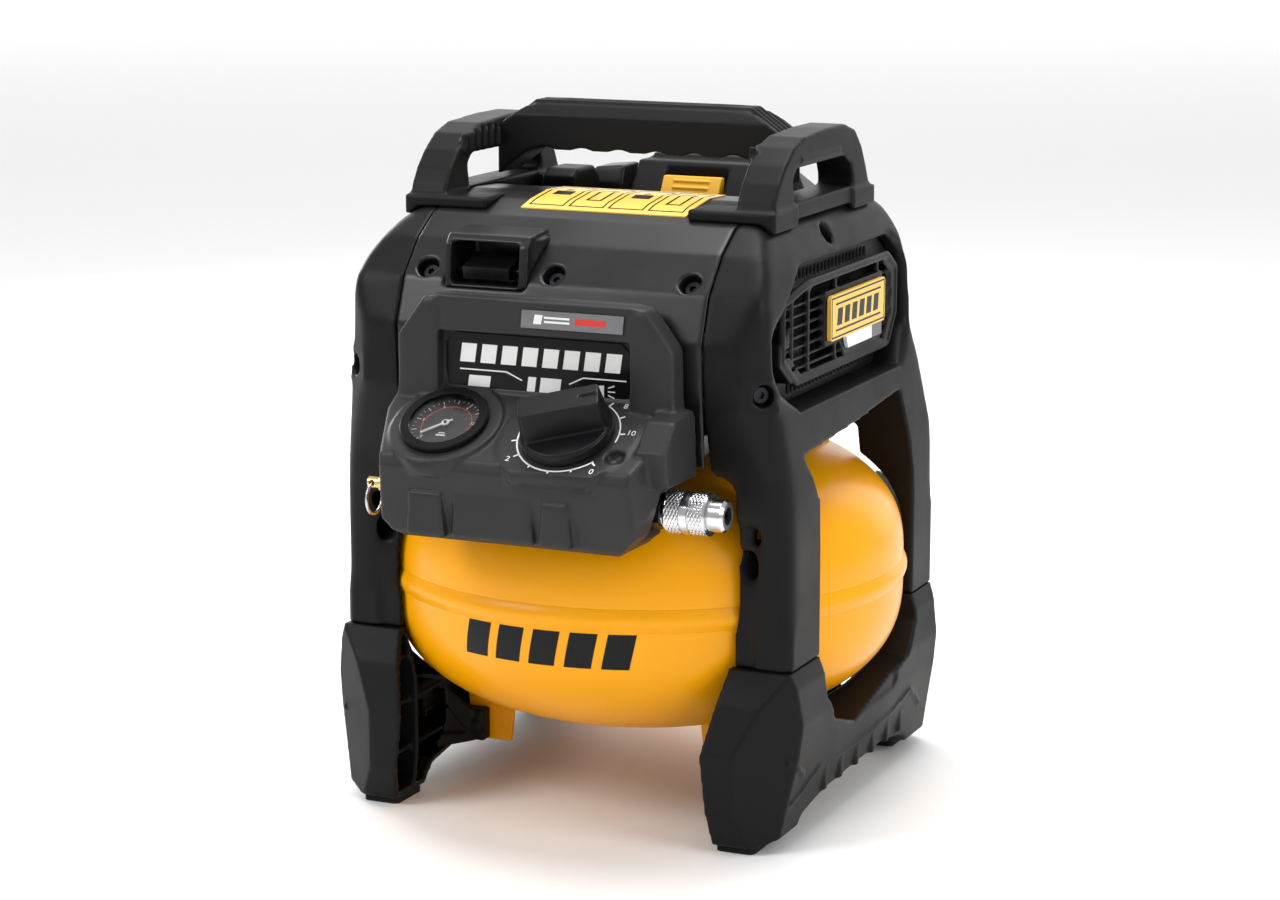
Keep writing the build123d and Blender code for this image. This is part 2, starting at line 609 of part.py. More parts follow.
def badge_plate():
    """Small blank plate at the top of the console."""
    lean = 3 / (DECK + 95 - FACE_Z - 25 * 0.625)
    y = CONSOLE_Y + 53 - 14 * lean
    return along_x([(y, DECK + 81), (y - 1.2, DECK + 81), (y - 1.2 + 10 * lean, DECK + 91), (y + 10 * lean, DECK + 91)],
                   -13, 54)


# ---- Gauge ------------------------------------------------------------------------------------
def gauge_case():
    """Cup behind the dial, with its threaded stem."""
    face = face_plane(GAUGE_X)
    cup = disc(face, GAUGE_R - 1, -20, 0) - disc(face, GAUGE_R - 3, -18, 1)
    return cup + disc(face, 5, -30, -19.5)


def gauge_bezel():
    """Ring that holds the lens."""
    face = face_plane(GAUGE_X)
    ring = disc(face, GAUGE_R + 1, 0.2, 6) - disc(face, GAUGE_R - 3, 0, 5) - disc(face, GAUGE_R - 4.5, 4, 7)
    return chamfer(ring.edges().sort_by(SortBy.LENGTH)[-1], 0.6)


def gauge_dial():
    """Dial plate with the needle's pivot."""
    face = face_plane(GAUGE_X)
    return disc(face, GAUGE_R - 3.2, -1.6, -0.4) + disc(face, 0.9, -0.6, 2.4)


NEEDLE_REST = -140.0    # direction of the needle at zero pressure, in degrees from the dial's right


def gauge_needle():
    """Needle with a hub and a short tail."""
    face = face_plane(GAUGE_X)
    pointer = Pos(5.5, 0, 0) * Rectangle(20, 1.2) + Circle(2.4) - Circle(0.9 + RUN_FIT)
    turned_face = face.offset(1.0) * (Rot(0, 0, NEEDLE_REST) * pointer)
    return extrude(turned_face, amount=0.7, dir=tuple(face.z_dir))


def gauge_lens():
    """Clear window over the dial."""
    return disc(face_plane(GAUGE_X), GAUGE_R - 3.2, 3.2, 4.8)


# ---- Regulator --------------------------------------------------------------------------------
def regulator_body():
    """Regulator under the console face, with the stem that the knob turns on."""
    face = face_plane(KNOB_X)
    return disc(face, 15, -26, -4) + disc(face, STEM_R, -5, 14)


def regulator_knob():
    """Round knob with a tall bar grip."""
    face = face_plane(KNOB_X)
    base = disc(face, KNOB_R, 0.8, 9)
    base = chamfer(base.edges().sort_by(SortBy.LENGTH)[-2:], 1.2)
    turn = 22.0
    grip = extrude(face.offset(8) * (Rot(0, 0, turn) * RectangleRounded(50, 21, 4)), amount=19,
                   dir=tuple(face.z_dir), taper=5)
    knob = base + (grip & disc(face, KNOB_R - 0.8, 8, 30))
    mark = extrude(face.offset(25.8) * (Rot(0, 0, turn) * (Pos(17, 0, 0) * Rectangle(10, 2.4))), amount=3,
                   dir=tuple(face.z_dir))
    return knob - mark - disc(face, STEM_R + RUN_FIT, 0, 15)


# ---- Air line behind the console --------------------------------------------------------------
def manifold():
    """Cast block that joins the regulator, gauge, relief valve and outlet."""
    body = block(-66, 62, AIR_Y - 8, AIR_Y + 8, AIR_Z - 8, AIR_Z + 8)
    return body - bar((-70, AIR_Y, AIR_Z), (70, AIR_Y, AIR_Z), 4.5)


def coupler_adapter():
    """Hexagon nipple between the manifold and the quick coupler."""
    start, end = (62, AIR_Y, AIR_Z), (COUPLER_X + 8.5, AIR_Y, AIR_Z)
    return hexagon(start, end, 19) - bar((60, AIR_Y, AIR_Z), (COUPLER_X + 10, AIR_Y, AIR_Z), 3.5)


def coupler_body():
    """Coupler body with its hexagon nose and its plug bore."""
    y, z = AIR_Y, AIR_Z
    nose = COUPLER_END - 9.5
    body = bar((COUPLER_X + 8.5, y, z), (nose, y, z), COUPLER_BODY_R)
    tip = bar((nose, y, z), (COUPLER_END, y, z), COUPLER_BODY_R + 0.4)
    body = body + (tip - Pos(0, y, z) * chamfer_ring(COUPLER_END))
    body -= bar((COUPLER_END - 26, y, z), (COUPLER_END + 1, y, z), COUPLER_BORE_R)
    return body - bar((COUPLER_X, y, z), (COUPLER_END, y, z), 3.0)


def chamfer_ring(end):
    """Cutter that bevels the coupler's round nose."""
    reach = COUPLER_BODY_R + 0.8
    profile = make_face(Polyline((end - 2, reach), (end + 1, reach - 3), (end + 1, reach + 2),
                                 (end - 2, reach + 2), close=True))
    return revolve(profile, axis=Axis.X)


def coupler_sleeve():
    """Knurled sleeve that is drawn back to free the plug."""
    y, z = AIR_Y, AIR_Z
    start, end = COUPLER_X + 8.5 + SLEEVE_TRAVEL + 0.5, COUPLER_END - 10.0
    sleeve = bar((start, y, z), (end, y, z), COUPLER_R)
    middle = (start + end) / 2
    groove = bar((middle - 2.2, y, z), (middle + 2.2, y, z), COUPLER_R + 1) - bar(
        (middle - 3, y, z), (middle + 3, y, z), COUPLER_R - 0.6)
    return sleeve - groove - bar((start - 1, y, z), (end + 1, y, z), COUPLER_BODY_R + RUN_FIT)


def relief_valve():
    """Brass body of the safety relief valve."""
    y, z = AIR_Y, AIR_Z
    body = hexagon((-94, y, z), (-84, y, z), 13) + bar((-99, y, z), (-94, y, z), 5) + bar(
        (-84.5, y, z), (-66, y, z), 5.5)
    return body - bar((-101, y, z), (-68, y, z), 2.2 + RUN_FIT)


def relief_stem():
    """Pull stem of the relief valve, cross-drilled for its ring."""
    y, z = AIR_Y, AIR_Z
    stem = bar((RELIEF_TIP, y, z), (-80, y, z), 2.2)
    eye = bar((RELIEF_TIP, y, z), (RELIEF_TIP + 7, y, z), 3.4)
    hole = RELIEF_TIP + 3
    return stem + eye - bar((hole, y - 5, z), (hole, y + 5, z), 1.9)


def relief_ring():
    """Pull ring, hanging through the stem."""
    centre = Pos(RELIEF_TIP + 3, AIR_Y, AIR_Z - RING_R)
    return centre * Rot(0, 90, 0) * Torus(RING_R, RING_WIRE)


# ---- Brackets, drain and tank fittings --------------------------------------------------------
TAB_X, TAB_Y = 80.0, 60.0
TAB_HOLE_X = TAB_X + 5.0
TAB_HOLE_Z = 34.0


def tank_tabs(tank):
    """Four steel tabs under the tank, each with a bolt hole."""
    tabs = []
    for sx in (-1, 1):
        for sy in (-1, 1):
            tab = along_y([(sx * (TAB_X - 14), TAB_HOLE_Z - 10), (sx * (TAB_X + 12), TAB_HOLE_Z - 10),
                           (sx * (TAB_X + 16), TANK_LOW + 20), (sx * (TAB_X - 18), TANK_LOW + 20)],
                          sy * TAB_Y - 1.5, sy * TAB_Y + 1.5)
            hole = sx * TAB_HOLE_X
            tab -= bar((hole, sy * TAB_Y - 5, TAB_HOLE_Z), (hole, sy * TAB_Y + 5, TAB_HOLE_Z), 4.2)
            tabs.append(tab - tank)
    return tabs


def tank_saddles(tank):
    """Two bent steel saddles on the tank's shoulder, under the shroud's sides."""
    saddles = []
    for side in (-1, 1):
        plate = along_x([(8, DECK - 14), (8, DECK + 2), (16, DECK + 10), (56, DECK + 10), (64, DECK - 20)],
                        side * 84 - 13, side * 84 + 13)
        plate -= along_x([(11, DECK - 30), (11, DECK + 1), (18, DECK + 7), (54, DECK + 7), (60, DECK - 30)],
                         side * 84 - 9, side * 84 + 9)
        saddles.append((plate - tank).solids().sort_by(SortBy.VOLUME)[-1])
    return saddles


def gusset(tank_room, frame_room):
    """Ribbed web from the right front leg to a tank tab, with its lug and pin."""
    start = Vector(LEG_X - 28, -LEG_Y + 14, 0)
    end = Vector(TAB_HOLE_X + 5, -TAB_Y - 8, 0)
    run = end - start
    plane = Plane(origin=start, x_dir=tuple(run.normalized()), z_dir=(run.Y, -run.X, 0))
    up = 1 if plane.y_dir.Z > 0 else -1
    span = run.length
    outline = [(0, 24), (span, 24), (span, 44), (span * 0.55, 66), (span * 0.2, 98), (0, BOOT_TOP - 3)]
    panes = [[(4, 34), (span * 0.42, 34), (4, 56)], [(span * 0.5, 32), (span - 4, 30), (span * 0.6, 52)],
             [(span * 0.46, 40), (span * 0.5, 60), (6, 64)], [(4, 70), (span * 0.36, 70), (4, 94)]]
    web = extrude(plane.offset(-4) * make_face(Polyline(*[(a, up * b) for a, b in outline], close=True)),
                  amount=8, dir=tuple(plane.z_dir))
    for pane in panes:
        face = make_face(Polyline(*[(a, up * b) for a, b in pane], close=True))
        for depth in (-5, 1.5):
            web -= extrude(plane.offset(depth) * face, amount=3.5, dir=tuple(plane.z_dir))
    pin = bar((TAB_HOLE_X, -TAB_Y - 14, TAB_HOLE_Z), (TAB_HOLE_X, -TAB_Y + 6, TAB_HOLE_Z), 4.0)
    lug = block(TAB_HOLE_X - 5, TAB_HOLE_X + 9, -TAB_Y - 12, -TAB_Y - 2, 25, 45)
    whole = web + lug + pin
    return (whole - tank_room - frame_room).solids().sort_by(SortBy.VOLUME)[-1]


DRAIN_X = TAB_X - 18.0
DRAIN_Y = -6.0
DRAIN_Z = 30.0


def drain_bar(y0, y1, radius):
    """Round bar along the drain cock's axis, from and to a distance behind its lever."""
    return bar((DRAIN_X, DRAIN_Y + y0, DRAIN_Z), (DRAIN_X, DRAIN_Y + y1, DRAIN_Z), radius)


def drain_valve(tank):
    """Brass drain cock under the tank, its port towards the back."""
    body = bar((DRAIN_X, DRAIN_Y - 14, DRAIN_Z), (DRAIN_X, DRAIN_Y - 14, TANK_LOW + 18), 6)
    body += hexagon((DRAIN_X, DRAIN_Y - 20, DRAIN_Z), (DRAIN_X, DRAIN_Y + 12, DRAIN_Z), 16)
    body += drain_bar(11, 24, 5.5)
    body += bar((DRAIN_X, DRAIN_Y, DRAIN_Z), (DRAIN_X, DRAIN_Y, DRAIN_Z - 14), 3)
    return body - drain_bar(-8, 25, 3.0) - tank


def drain_lever():
    """Quarter-turn lever of the drain cock."""
    low = DRAIN_Z - 13.5
    lever = block(DRAIN_X - 5, DRAIN_X + 5, DRAIN_Y - 6, DRAIN_Y + 34, low, low + 3)
    lever = fillet(lever.edges().filter_by(Axis.Z), 4.0)
    return lever - bar((DRAIN_X, DRAIN_Y, low - 1), (DRAIN_X, DRAIN_Y, low + 5), 3 + RUN_FIT)


CHECK_X, CHECK_Y = -66.0, -75.0


def check_valve(tank):
    """Brass check valve where the pumped air enters the tank."""
    body = hexagon((CHECK_X, CHECK_Y, DECK - 20), (CHECK_X, CHECK_Y, DECK + 4), 17)
    body += bar((CHECK_X, CHECK_Y, DECK + 3), (CHECK_X, CHECK_Y, DECK + 12), 6.5)
    return body - bar((CHECK_X, CHECK_Y, DECK), (CHECK_X, CHECK_Y, DECK + 20), 4.0) - tank


def discharge_tube():
    """Aluminium tube from the cylinder head to the check valve."""
    head = HEAD_Y - 12
    route = FilletPolyline((PISTON_X - 26, head, CRANK_Z), (CHECK_X, head, CRANK_Z), (CHECK_X, head, DECK + 36),
                           (CHECK_X, CHECK_Y, DECK + 36), (CHECK_X, CHECK_Y, DECK + 2), radius=9)
    start = Plane(origin=(PISTON_X - 26, head, CRANK_Z), z_dir=(-1, 0, 0))
    return sweep(start * Circle(3.95), path=route)


# ---- Motor and pump ---------------------------------------------------------------------------
def crank_bar(x0, x1, radius):
    """Round bar on the crankshaft's axis."""
    return bar((x0, CRANK_Y, CRANK_Z), (x1, CRANK_Y, CRANK_Z), radius)


def pump_saddle(tank):
    """Cast plate on the tank's crown that carries the pump and the motor."""
    plate = block(-56, 62, -70, 36, DECK - 8, DECK + 9)
    plate = plate + block(CASE_X0 + 6, CASE_X1 - 6, CRANK_Y - 26, CRANK_Y + 26, DECK + 8, CRANK_Z - 20)
    plate = plate + block(14, 50, CRANK_Y - 26, CRANK_Y + 26, DECK + 8, CRANK_Z - 20)
    seat = block(CASE_X0 - 1, CASE_X1 + 1, CRANK_Y - 41, CRANK_Y, CRANK_Z - CASE_R + 2, CRANK_Z)
    return plate - seat - crank_bar(-60, 70, STATOR_R) - tank


def crankcase():
    """Aluminium crankcase with its shaft bearing boss and cylinder opening."""
    body = crank_bar(CASE_X0, CASE_X1, CASE_R)
    body += block(CASE_X0, CASE_X1, CRANK_Y - 40, CRANK_Y, CRANK_Z - CASE_R + 2, CRANK_Z + CASE_R - 2)
    body -= crank_bar(CASE_X0 + 4, CASE_X1 - 6, CASE_CAVITY_R)
    body += crank_bar(CASE_X1 - 1, CASE_X1 + 7, 14)
    body -= crank_bar(CASE_X1 - 8, CASE_X1 + 10, SHAFT_R + RUN_FIT)
    body -= bar((PISTON_X, CRANK_Y - 41, CRANK_Z), (PISTON_X, CRANK_Y - 10, CRANK_Z), 18.0)
    return body - crank_bar(-60, CASE_X0 + 1, 8)


def cylinder():
    """Finned cylinder on the crankcase's front."""
    y0, y1 = HEAD_Y, CRANK_Y - 40
    body = bar((PISTON_X, y1, CRANK_Z), (PISTON_X, y0, CRANK_Z), PISTON_R + 4)
    count = 5
    for fin in range(count):
        y = y0 + 4 + fin * (y1 - y0 - 10) / (count - 1)
        body += block(PISTON_X - 33, PISTON_X + 33, y, y + 2.2, CRANK_Z - 33, CRANK_Z + 33)
    return body - bar((PISTON_X, y1 + 1, CRANK_Z), (PISTON_X, y0 - 1, CRANK_Z), PISTON_R + RUN_FIT)


def valve_plate():
    """Steel plate with the inlet and outlet ports."""
    plate = block(PISTON_X - 30, PISTON_X + 30, HEAD_Y - 3, HEAD_Y, CRANK_Z - 30, CRANK_Z + 30)
    for side in (-1, 1):
        x = PISTON_X + side * 9
        plate -= bar((x, HEAD_Y - 4, CRANK_Z), (x, HEAD_Y + 1, CRANK_Z), 3.0)
    return plate


def cylinder_head():
    """Finned head with the discharge port."""
    y0, y1 = HEAD_Y - 21, HEAD_Y - 3
    body = block(PISTON_X - 26, PISTON_X + 26, y0 + 6, y1, CRANK_Z - 28, CRANK_Z + 28)
    for fin in range(7):
        z = CRANK_Z - 27 + fin * 8.6
        body += block(PISTON_X - 26, PISTON_X + 26, y0, y1 - 8, z, z + 2.4)
    return body - block(PISTON_X - 20, PISTON_X + 20, y0 + 10, y1 + 1, CRANK_Z - 20, CRANK_Z + 20)


def motor_stator():
    """Laminated stator ring with its end bell and bearing."""
    body = crank_bar(12, 54, STATOR_R) - crank_bar(11, 50, ROTOR_R + 2)
    return body - crank_bar(48, 56, SHAFT_R + RUN_FIT)


def motor_rotor():
    """Rotor on its shaft."""
    return crank_bar(14, 46, ROTOR_R) + crank_bar(-9, 84, SHAFT_R)


def cooling_fan():
    """Bladed fan on the shaft's free end."""
    hub = crank_bar(62, 82, 14) - crank_bar(60, 84, SHAFT_R)
    blades = 9
    for blade in range(blades):
        angle = 360 / blades * blade
        vane = Pos(72, CRANK_Y, CRANK_Z) * Rot(angle, 0, 0) * Pos(0, 0, (FAN_R + 12) / 2) * Rot(0, 0, 28)
        hub += vane * Box(20, 2.4, FAN_R - 12)
    return hub


def eccentric():
    """Counterweight with the crank pin stub; the pin ends short of the rod."""
    x0, x1 = -16.0, -9.0
    disc_ = crank_bar(x0, x1, 16)
    weight = crank_bar(x0, x1, 27) & block(x0, x1, CRANK_Y + 2, CRANK_Y + 40, CRANK_Z - 40, CRANK_Z + 40)
    pin_y = CRANK_Y - STROKE / 2
    return disc_ + weight + bar((x0, pin_y, CRANK_Z), (ROD_X1 + PIN_GAP, pin_y, CRANK_Z), 5)


ROD_X0, ROD_X1 = -28.0, -19.0


def piston_rod():
    """Wobble piston: a one-piece rod and crown."""
    pin_y = CRANK_Y - STROKE / 2
    crown = HEAD_Y + 1.5
    rod = bar((ROD_X0, pin_y, CRANK_Z), (ROD_X1, pin_y, CRANK_Z), 12)
    rod += block(ROD_X0 + 1, ROD_X1 - 1, crown + 6, pin_y, CRANK_Z - 6, CRANK_Z + 6)
    rod += bar((PISTON_X, crown, CRANK_Z), (PISTON_X, crown + 9, CRANK_Z), PISTON_R - 2)
    return rod - bar((ROD_X0 - 1, pin_y, CRANK_Z), (ROD_X1 + 1, pin_y, CRANK_Z), 6)


def piston_seal():
    """Cup seal round the piston crown."""
    crown = HEAD_Y + 1.5
    ring = bar((PISTON_X, crown + 1, CRANK_Z), (PISTON_X, crown + 7, CRANK_Z), PISTON_R)
    return ring - bar((PISTON_X, crown, CRANK_Z), (PISTON_X, crown + 8, CRANK_Z), PISTON_R - 2)


def controller_board():
    """Motor controller board with its power parts."""
    board = block(-60, 60, 44, 46, DECK + 30, DECK + 100)
    for x in (-42, -14, 14, 42):
        board += block(x - 8, x + 8, 36, 44, DECK + 60, DECK + 74)
    return board + bar((-30, 44, DECK + 86), (-30, 34, DECK + 86), 7) + bar((10, 44, DECK + 86),
                                                                         (10, 34, DECK + 86), 7)


def pressure_switch():
    """Pressure switch housing on its nipple."""
    body = block(56, 90, -124, -92, DECK + 20, DECK + 56)
    return fillet(body.edges().filter_by(Axis.Z), 4.0)


# ---- Handles ----------------------------------------------------------------------------------
def top_handle():
    """Carry handle: a ribbed bar with finger notches, sloping to the side handles."""
    low = HANDLE_TOP - BAR_H
    end = SIDE_GRIP_X0
    drop = 16.0
    points = [(-end, low - drop), (-72, low), (72, low), (end, low - drop), (end, HANDLE_TOP - drop),
              (72, HANDLE_TOP), (-72, HANDLE_TOP), (-end, HANDLE_TOP - drop)]
    half = BAR_DEPTH / 2
    body = along_y(points, -half, half)
    section = along_x([(-half, low - 30), (-half, HANDLE_TOP - 9), (-half + 8, HANDLE_TOP), (half - 8, HANDLE_TOP),
                       (half, HANDLE_TOP - 9), (half, low - 30)], -end, end)
    slope = [(y, z - drop) for y, z in [(-half, low - 30), (-half, HANDLE_TOP - 9), (-half + 8, HANDLE_TOP),
                                        (half - 8, HANDLE_TOP), (half, HANDLE_TOP - 9), (half, low - 30)]]
    body = body & section
    for groove in (-6, 0, 6):
        body -= block(-72, 72, groove - 0.8, groove + 0.8, HANDLE_TOP - 1.2, HANDLE_TOP + 1)
    for notch in range(6):
        x = (notch - 2.5) * GRIP_PITCH
        body -= bar((x, -half - 1, low - 15.5), (x, half + 1, low - 15.5), 17)
    return body


def side_handle():
    """Right side handle: a front-to-back loop with spread feet."""
    x0, x1 = SIDE_GRIP_X0, SIDE_GRIP_X1
    low = DECK + 138
    outer = [(-89, low), (-84, DECK + 152), (-78, DECK + 161), (-68, DECK + 171), (-55, DECK + 180),
             (-38, DECK + 185), (0, DECK + 187), (28, DECK + 187), (46, DECK + 182), (58, DECK + 171),
             (66, DECK + 158), (72, DECK + 146), (74, low)]
    window = [(-54, DECK + 148), (-56, DECK + 162), (-50, DECK + 168), (28, DECK + 168), (40, DECK + 162),
              (44, DECK + 154), (44, DECK + 148)]
    body = along_x(outer, x0, x1) - along_x(window, x0 - 1, x1 + 1)
    channel = along_x(outer, x0 + 6, x0 + 14) - along_x(inset(outer, 13), x0, x1)
    body -= channel & block(x0, x1, -100, -30, DECK + 152, DECK + 190)
    body += block(x0 - 29, x1 + 2, -90, -52, DECK + 134, DECK + 146)
    body += block(x0 - 6, x1 + 2, 40, 76, DECK + 134, DECK + 146)
    panel_room = along_x(panel_outline(), SPLIT_X, LEG_X) & along_y(panel_profile(0.0), -200, 200)
    return body - panel_room - shroud_cover()


# ---- Battery ----------------------------------------------------------------------------------
def pack_rail(x, clear):
    """Rail of the battery bay, or the groove for it when clear is added."""
    w = RAIL_W / 2 + clear
    return block(x - w, x + w, PACK_Y0 - 4, PACK_Y0 + 6 + clear, PACK_Z0 - (6 if clear else 0), PACK_Z0 + 78 + clear)


def battery_dock():
    """Battery bay: back plate, two rails and a floor."""
    half = PACK_W / 2 + PACK_GAP - 0.5
    body = block(-half, half, PACK_Y0 - 8, PACK_Y0 - 2, PACK_Z0 - 8, PACK_Z0 + 78)
    body += block(-half, half, PACK_Y0 - 8, PACK_Y0 + 40, PACK_Z0 - 8, PACK_Z0 - 2)
    for x in (-RAIL_X, RAIL_X):
        body += pack_rail(x, 0.0)
    return body


BUTTON_Z0, BUTTON_Z1 = PACK_Z0 + 99, PACK_Z0 + 115
BUTTON_TRAVEL = 4.0


def battery_case():
    """Battery pack housing with its rail grooves and latch recess."""
    half = PACK_W / 2
    side = [(PACK_Y0, PACK_Z0), (PACK_Y0, PACK_Z1 - 24), (PACK_Y0 + 20, PACK_Z1), (PACK_Y1 - 6, PACK_Z1),
            (PACK_Y1, PACK_Z1 - 8), (PACK_Y1, PACK_Z0 + 6), (PACK_Y1 - 6, PACK_Z0)]
    body = along_x(side, -half, half)
    body = chamfer(body.edges().filter_by(Axis.Z).sort_by(Axis.Y)[-2:], 7.0)
    for x in (-RAIL_X, RAIL_X):
        body -= pack_rail(x, RAIL_CLEAR)
    body -= block(-21.5, 21.5, PACK_Y0 - 2, PACK_Y0 + 18, BUTTON_Z0 - 1, BUTTON_Z1 + 6)
    for y in (PACK_Y0 + 34, PACK_Y0 + 46, PACK_Y0 + 58):
        body += block(-half + 4, half - 4, y, y + 5, PACK_Z1 - 1, PACK_Z1 + 3)
    return body


def battery_button():
    """Latch button of the battery pack."""
    front = PACK_Y0 + 2
    body = along_x([(front, BUTTON_Z0), (front + 10, BUTTON_Z0), (front + 10, BUTTON_Z1),
                    (front + 6, BUTTON_Z1), (front, BUTTON_Z0 + 6)], -20, 20)
    for rib in (0, 1):
        y, z = front + 2.5 + rib * 2.4, BUTTON_Z0 + 9 + rib * 4
        body += bar((-12, y - 0.6, z), (12, y - 0.6, z), 1.0)
    return body


# ---- Write every node -------------------------------------------------------------------------
def nodes():
    """Every node's name and its solids."""
    tank = tank_body()
    tank_room = tank_body(TANK_GAP)
    panel = side_panel(tank_room)
    frame = lower_frame(tank_room)
    gussets = [gusset(tank_room, boot_solid(0.0))]
    gussets.append(mirror(gussets[0], about=Plane.XZ))
    screws = [well(at, normal)[2] for at, normal in SIDE_WELLS]
    screws += [flip(screw) for screw in screws] + [well(at, FRONT_NORMAL)[2] for at in FRONT_WELLS]
    pieces = {
        "tank_upper_shell": tank_shell(1), "tank_lower_shell": tank_shell(-1), "tank_weld_band": weld_band(),
        "tank_tabs": tank_tabs(tank), "tank_saddles": tank_saddles(tank), "foot_pads": foot_pads(),
        "leg_gussets": gussets + [flip(piece) for piece in gussets],
        "centre_shroud": shroud(tank_room), "label_strip": label_strip(), "rear_bumpers": bumpers(),
        "switch_hood": switch_hood(), "rocker_switch": rocker_switch(), "console": console(tank_room),
        "badge_plate": badge_plate(), "gauge_case": gauge_case(), "gauge_bezel": gauge_bezel(),
        "gauge_dial": gauge_dial(), "gauge_needle": gauge_needle(), "gauge_lens": gauge_lens(),
        "regulator_body": regulator_body(), "regulator_knob": regulator_knob(), "air_manifold": manifold(),
        "coupler_adapter": coupler_adapter(), "coupler_body": coupler_body(), "coupler_sleeve": coupler_sleeve(),
        "relief_valve": relief_valve(), "relief_stem": relief_stem(), "relief_ring": relief_ring(),
        "drain_valve": drain_valve(tank), "drain_lever": drain_lever(), "check_valve": check_valve(tank),
        "discharge_tube": discharge_tube(), "pump_saddle": pump_saddle(tank), "crankcase": crankcase(),
        "cylinder": cylinder(), "valve_plate": valve_plate(), "cylinder_head": cylinder_head(),
        "motor_stator": motor_stator(), "motor_rotor": motor_rotor(), "cooling_fan": cooling_fan(),
        "crank_counterweight": eccentric(), "piston_rod": piston_rod(), "piston_seal": piston_seal(),
        "controller_board": controller_board(), "pressure_switch": pressure_switch(),
        "top_handle": top_handle(), "battery_dock": battery_dock(), "battery_case": battery_case(),
        "battery_button": battery_button(), "housing_screws": screws,
    }
    pairs = {"side_frame": panel, "lower_frame": frame, "grille": grille(), "nameplate": nameplate(),
             "side_handle": side_handle()}
    for name, right in pairs.items():
        pieces[name + "_right"] = right
        pieces[name + "_left"] = flip(right)
    return {name: solids_of(shape) for name, shape in pieces.items()}


def solids_of(shape):
    """Flat list of the solids in a shape or in a list of shapes."""
    shapes = shape if isinstance(shape, list) else [shape]
    return [solid for one in shapes for solid in one.solids()]


def main():
    """Write every node, centred front to back, and return the shift along Y."""
    built = nodes()
    boxes = [solid.bounding_box() for pieces in built.values() for solid in pieces]
    shift = -(min(box.min.Y for box in boxes) + max(box.max.Y for box in boxes)) / 2
    for name, pieces in built.items():
        save(name, pieces, Pos(0, shift, 0))
    return shift


SHIFT_Y = main()
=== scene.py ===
import json
import math

import bmesh
import bpy
import numpy as np
from mathutils import Matrix, Vector


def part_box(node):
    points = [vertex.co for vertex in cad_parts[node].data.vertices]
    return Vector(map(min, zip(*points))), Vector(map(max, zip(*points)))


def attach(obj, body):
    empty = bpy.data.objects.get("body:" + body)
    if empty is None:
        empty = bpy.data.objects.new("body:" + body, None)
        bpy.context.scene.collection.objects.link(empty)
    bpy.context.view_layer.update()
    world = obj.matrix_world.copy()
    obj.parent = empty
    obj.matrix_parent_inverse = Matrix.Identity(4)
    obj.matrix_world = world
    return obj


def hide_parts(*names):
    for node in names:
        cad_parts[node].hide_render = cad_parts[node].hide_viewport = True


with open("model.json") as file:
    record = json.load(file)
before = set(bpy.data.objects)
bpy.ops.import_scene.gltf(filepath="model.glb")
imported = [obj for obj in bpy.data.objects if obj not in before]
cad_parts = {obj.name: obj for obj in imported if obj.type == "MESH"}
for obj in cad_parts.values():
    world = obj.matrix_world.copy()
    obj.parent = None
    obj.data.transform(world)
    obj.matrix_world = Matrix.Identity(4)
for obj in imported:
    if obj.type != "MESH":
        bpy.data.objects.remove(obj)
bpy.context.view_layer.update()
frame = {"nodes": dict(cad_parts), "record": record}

# ---- Places -----------------------------------------------------------------------------------
BAND_LOW, BAND_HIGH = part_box("tank_weld_band")
AXIS_Y = (BAND_LOW.y + BAND_HIGH.y) / 2         # the tank axis, front to back
TANK_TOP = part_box("tank_upper_shell")[1].z
TANK_SEAM = (BAND_LOW.z + BAND_HIGH.z) / 2
TANK_R = (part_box("tank_upper_shell")[1].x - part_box("tank_upper_shell")[0].x) / 2
MM = 0.001


def at(x, y, z):
    """Point of the frame from millimetres counted from the tank axis and the floor."""
    return Vector((x * MM, y * MM + AXIS_Y, z * MM))


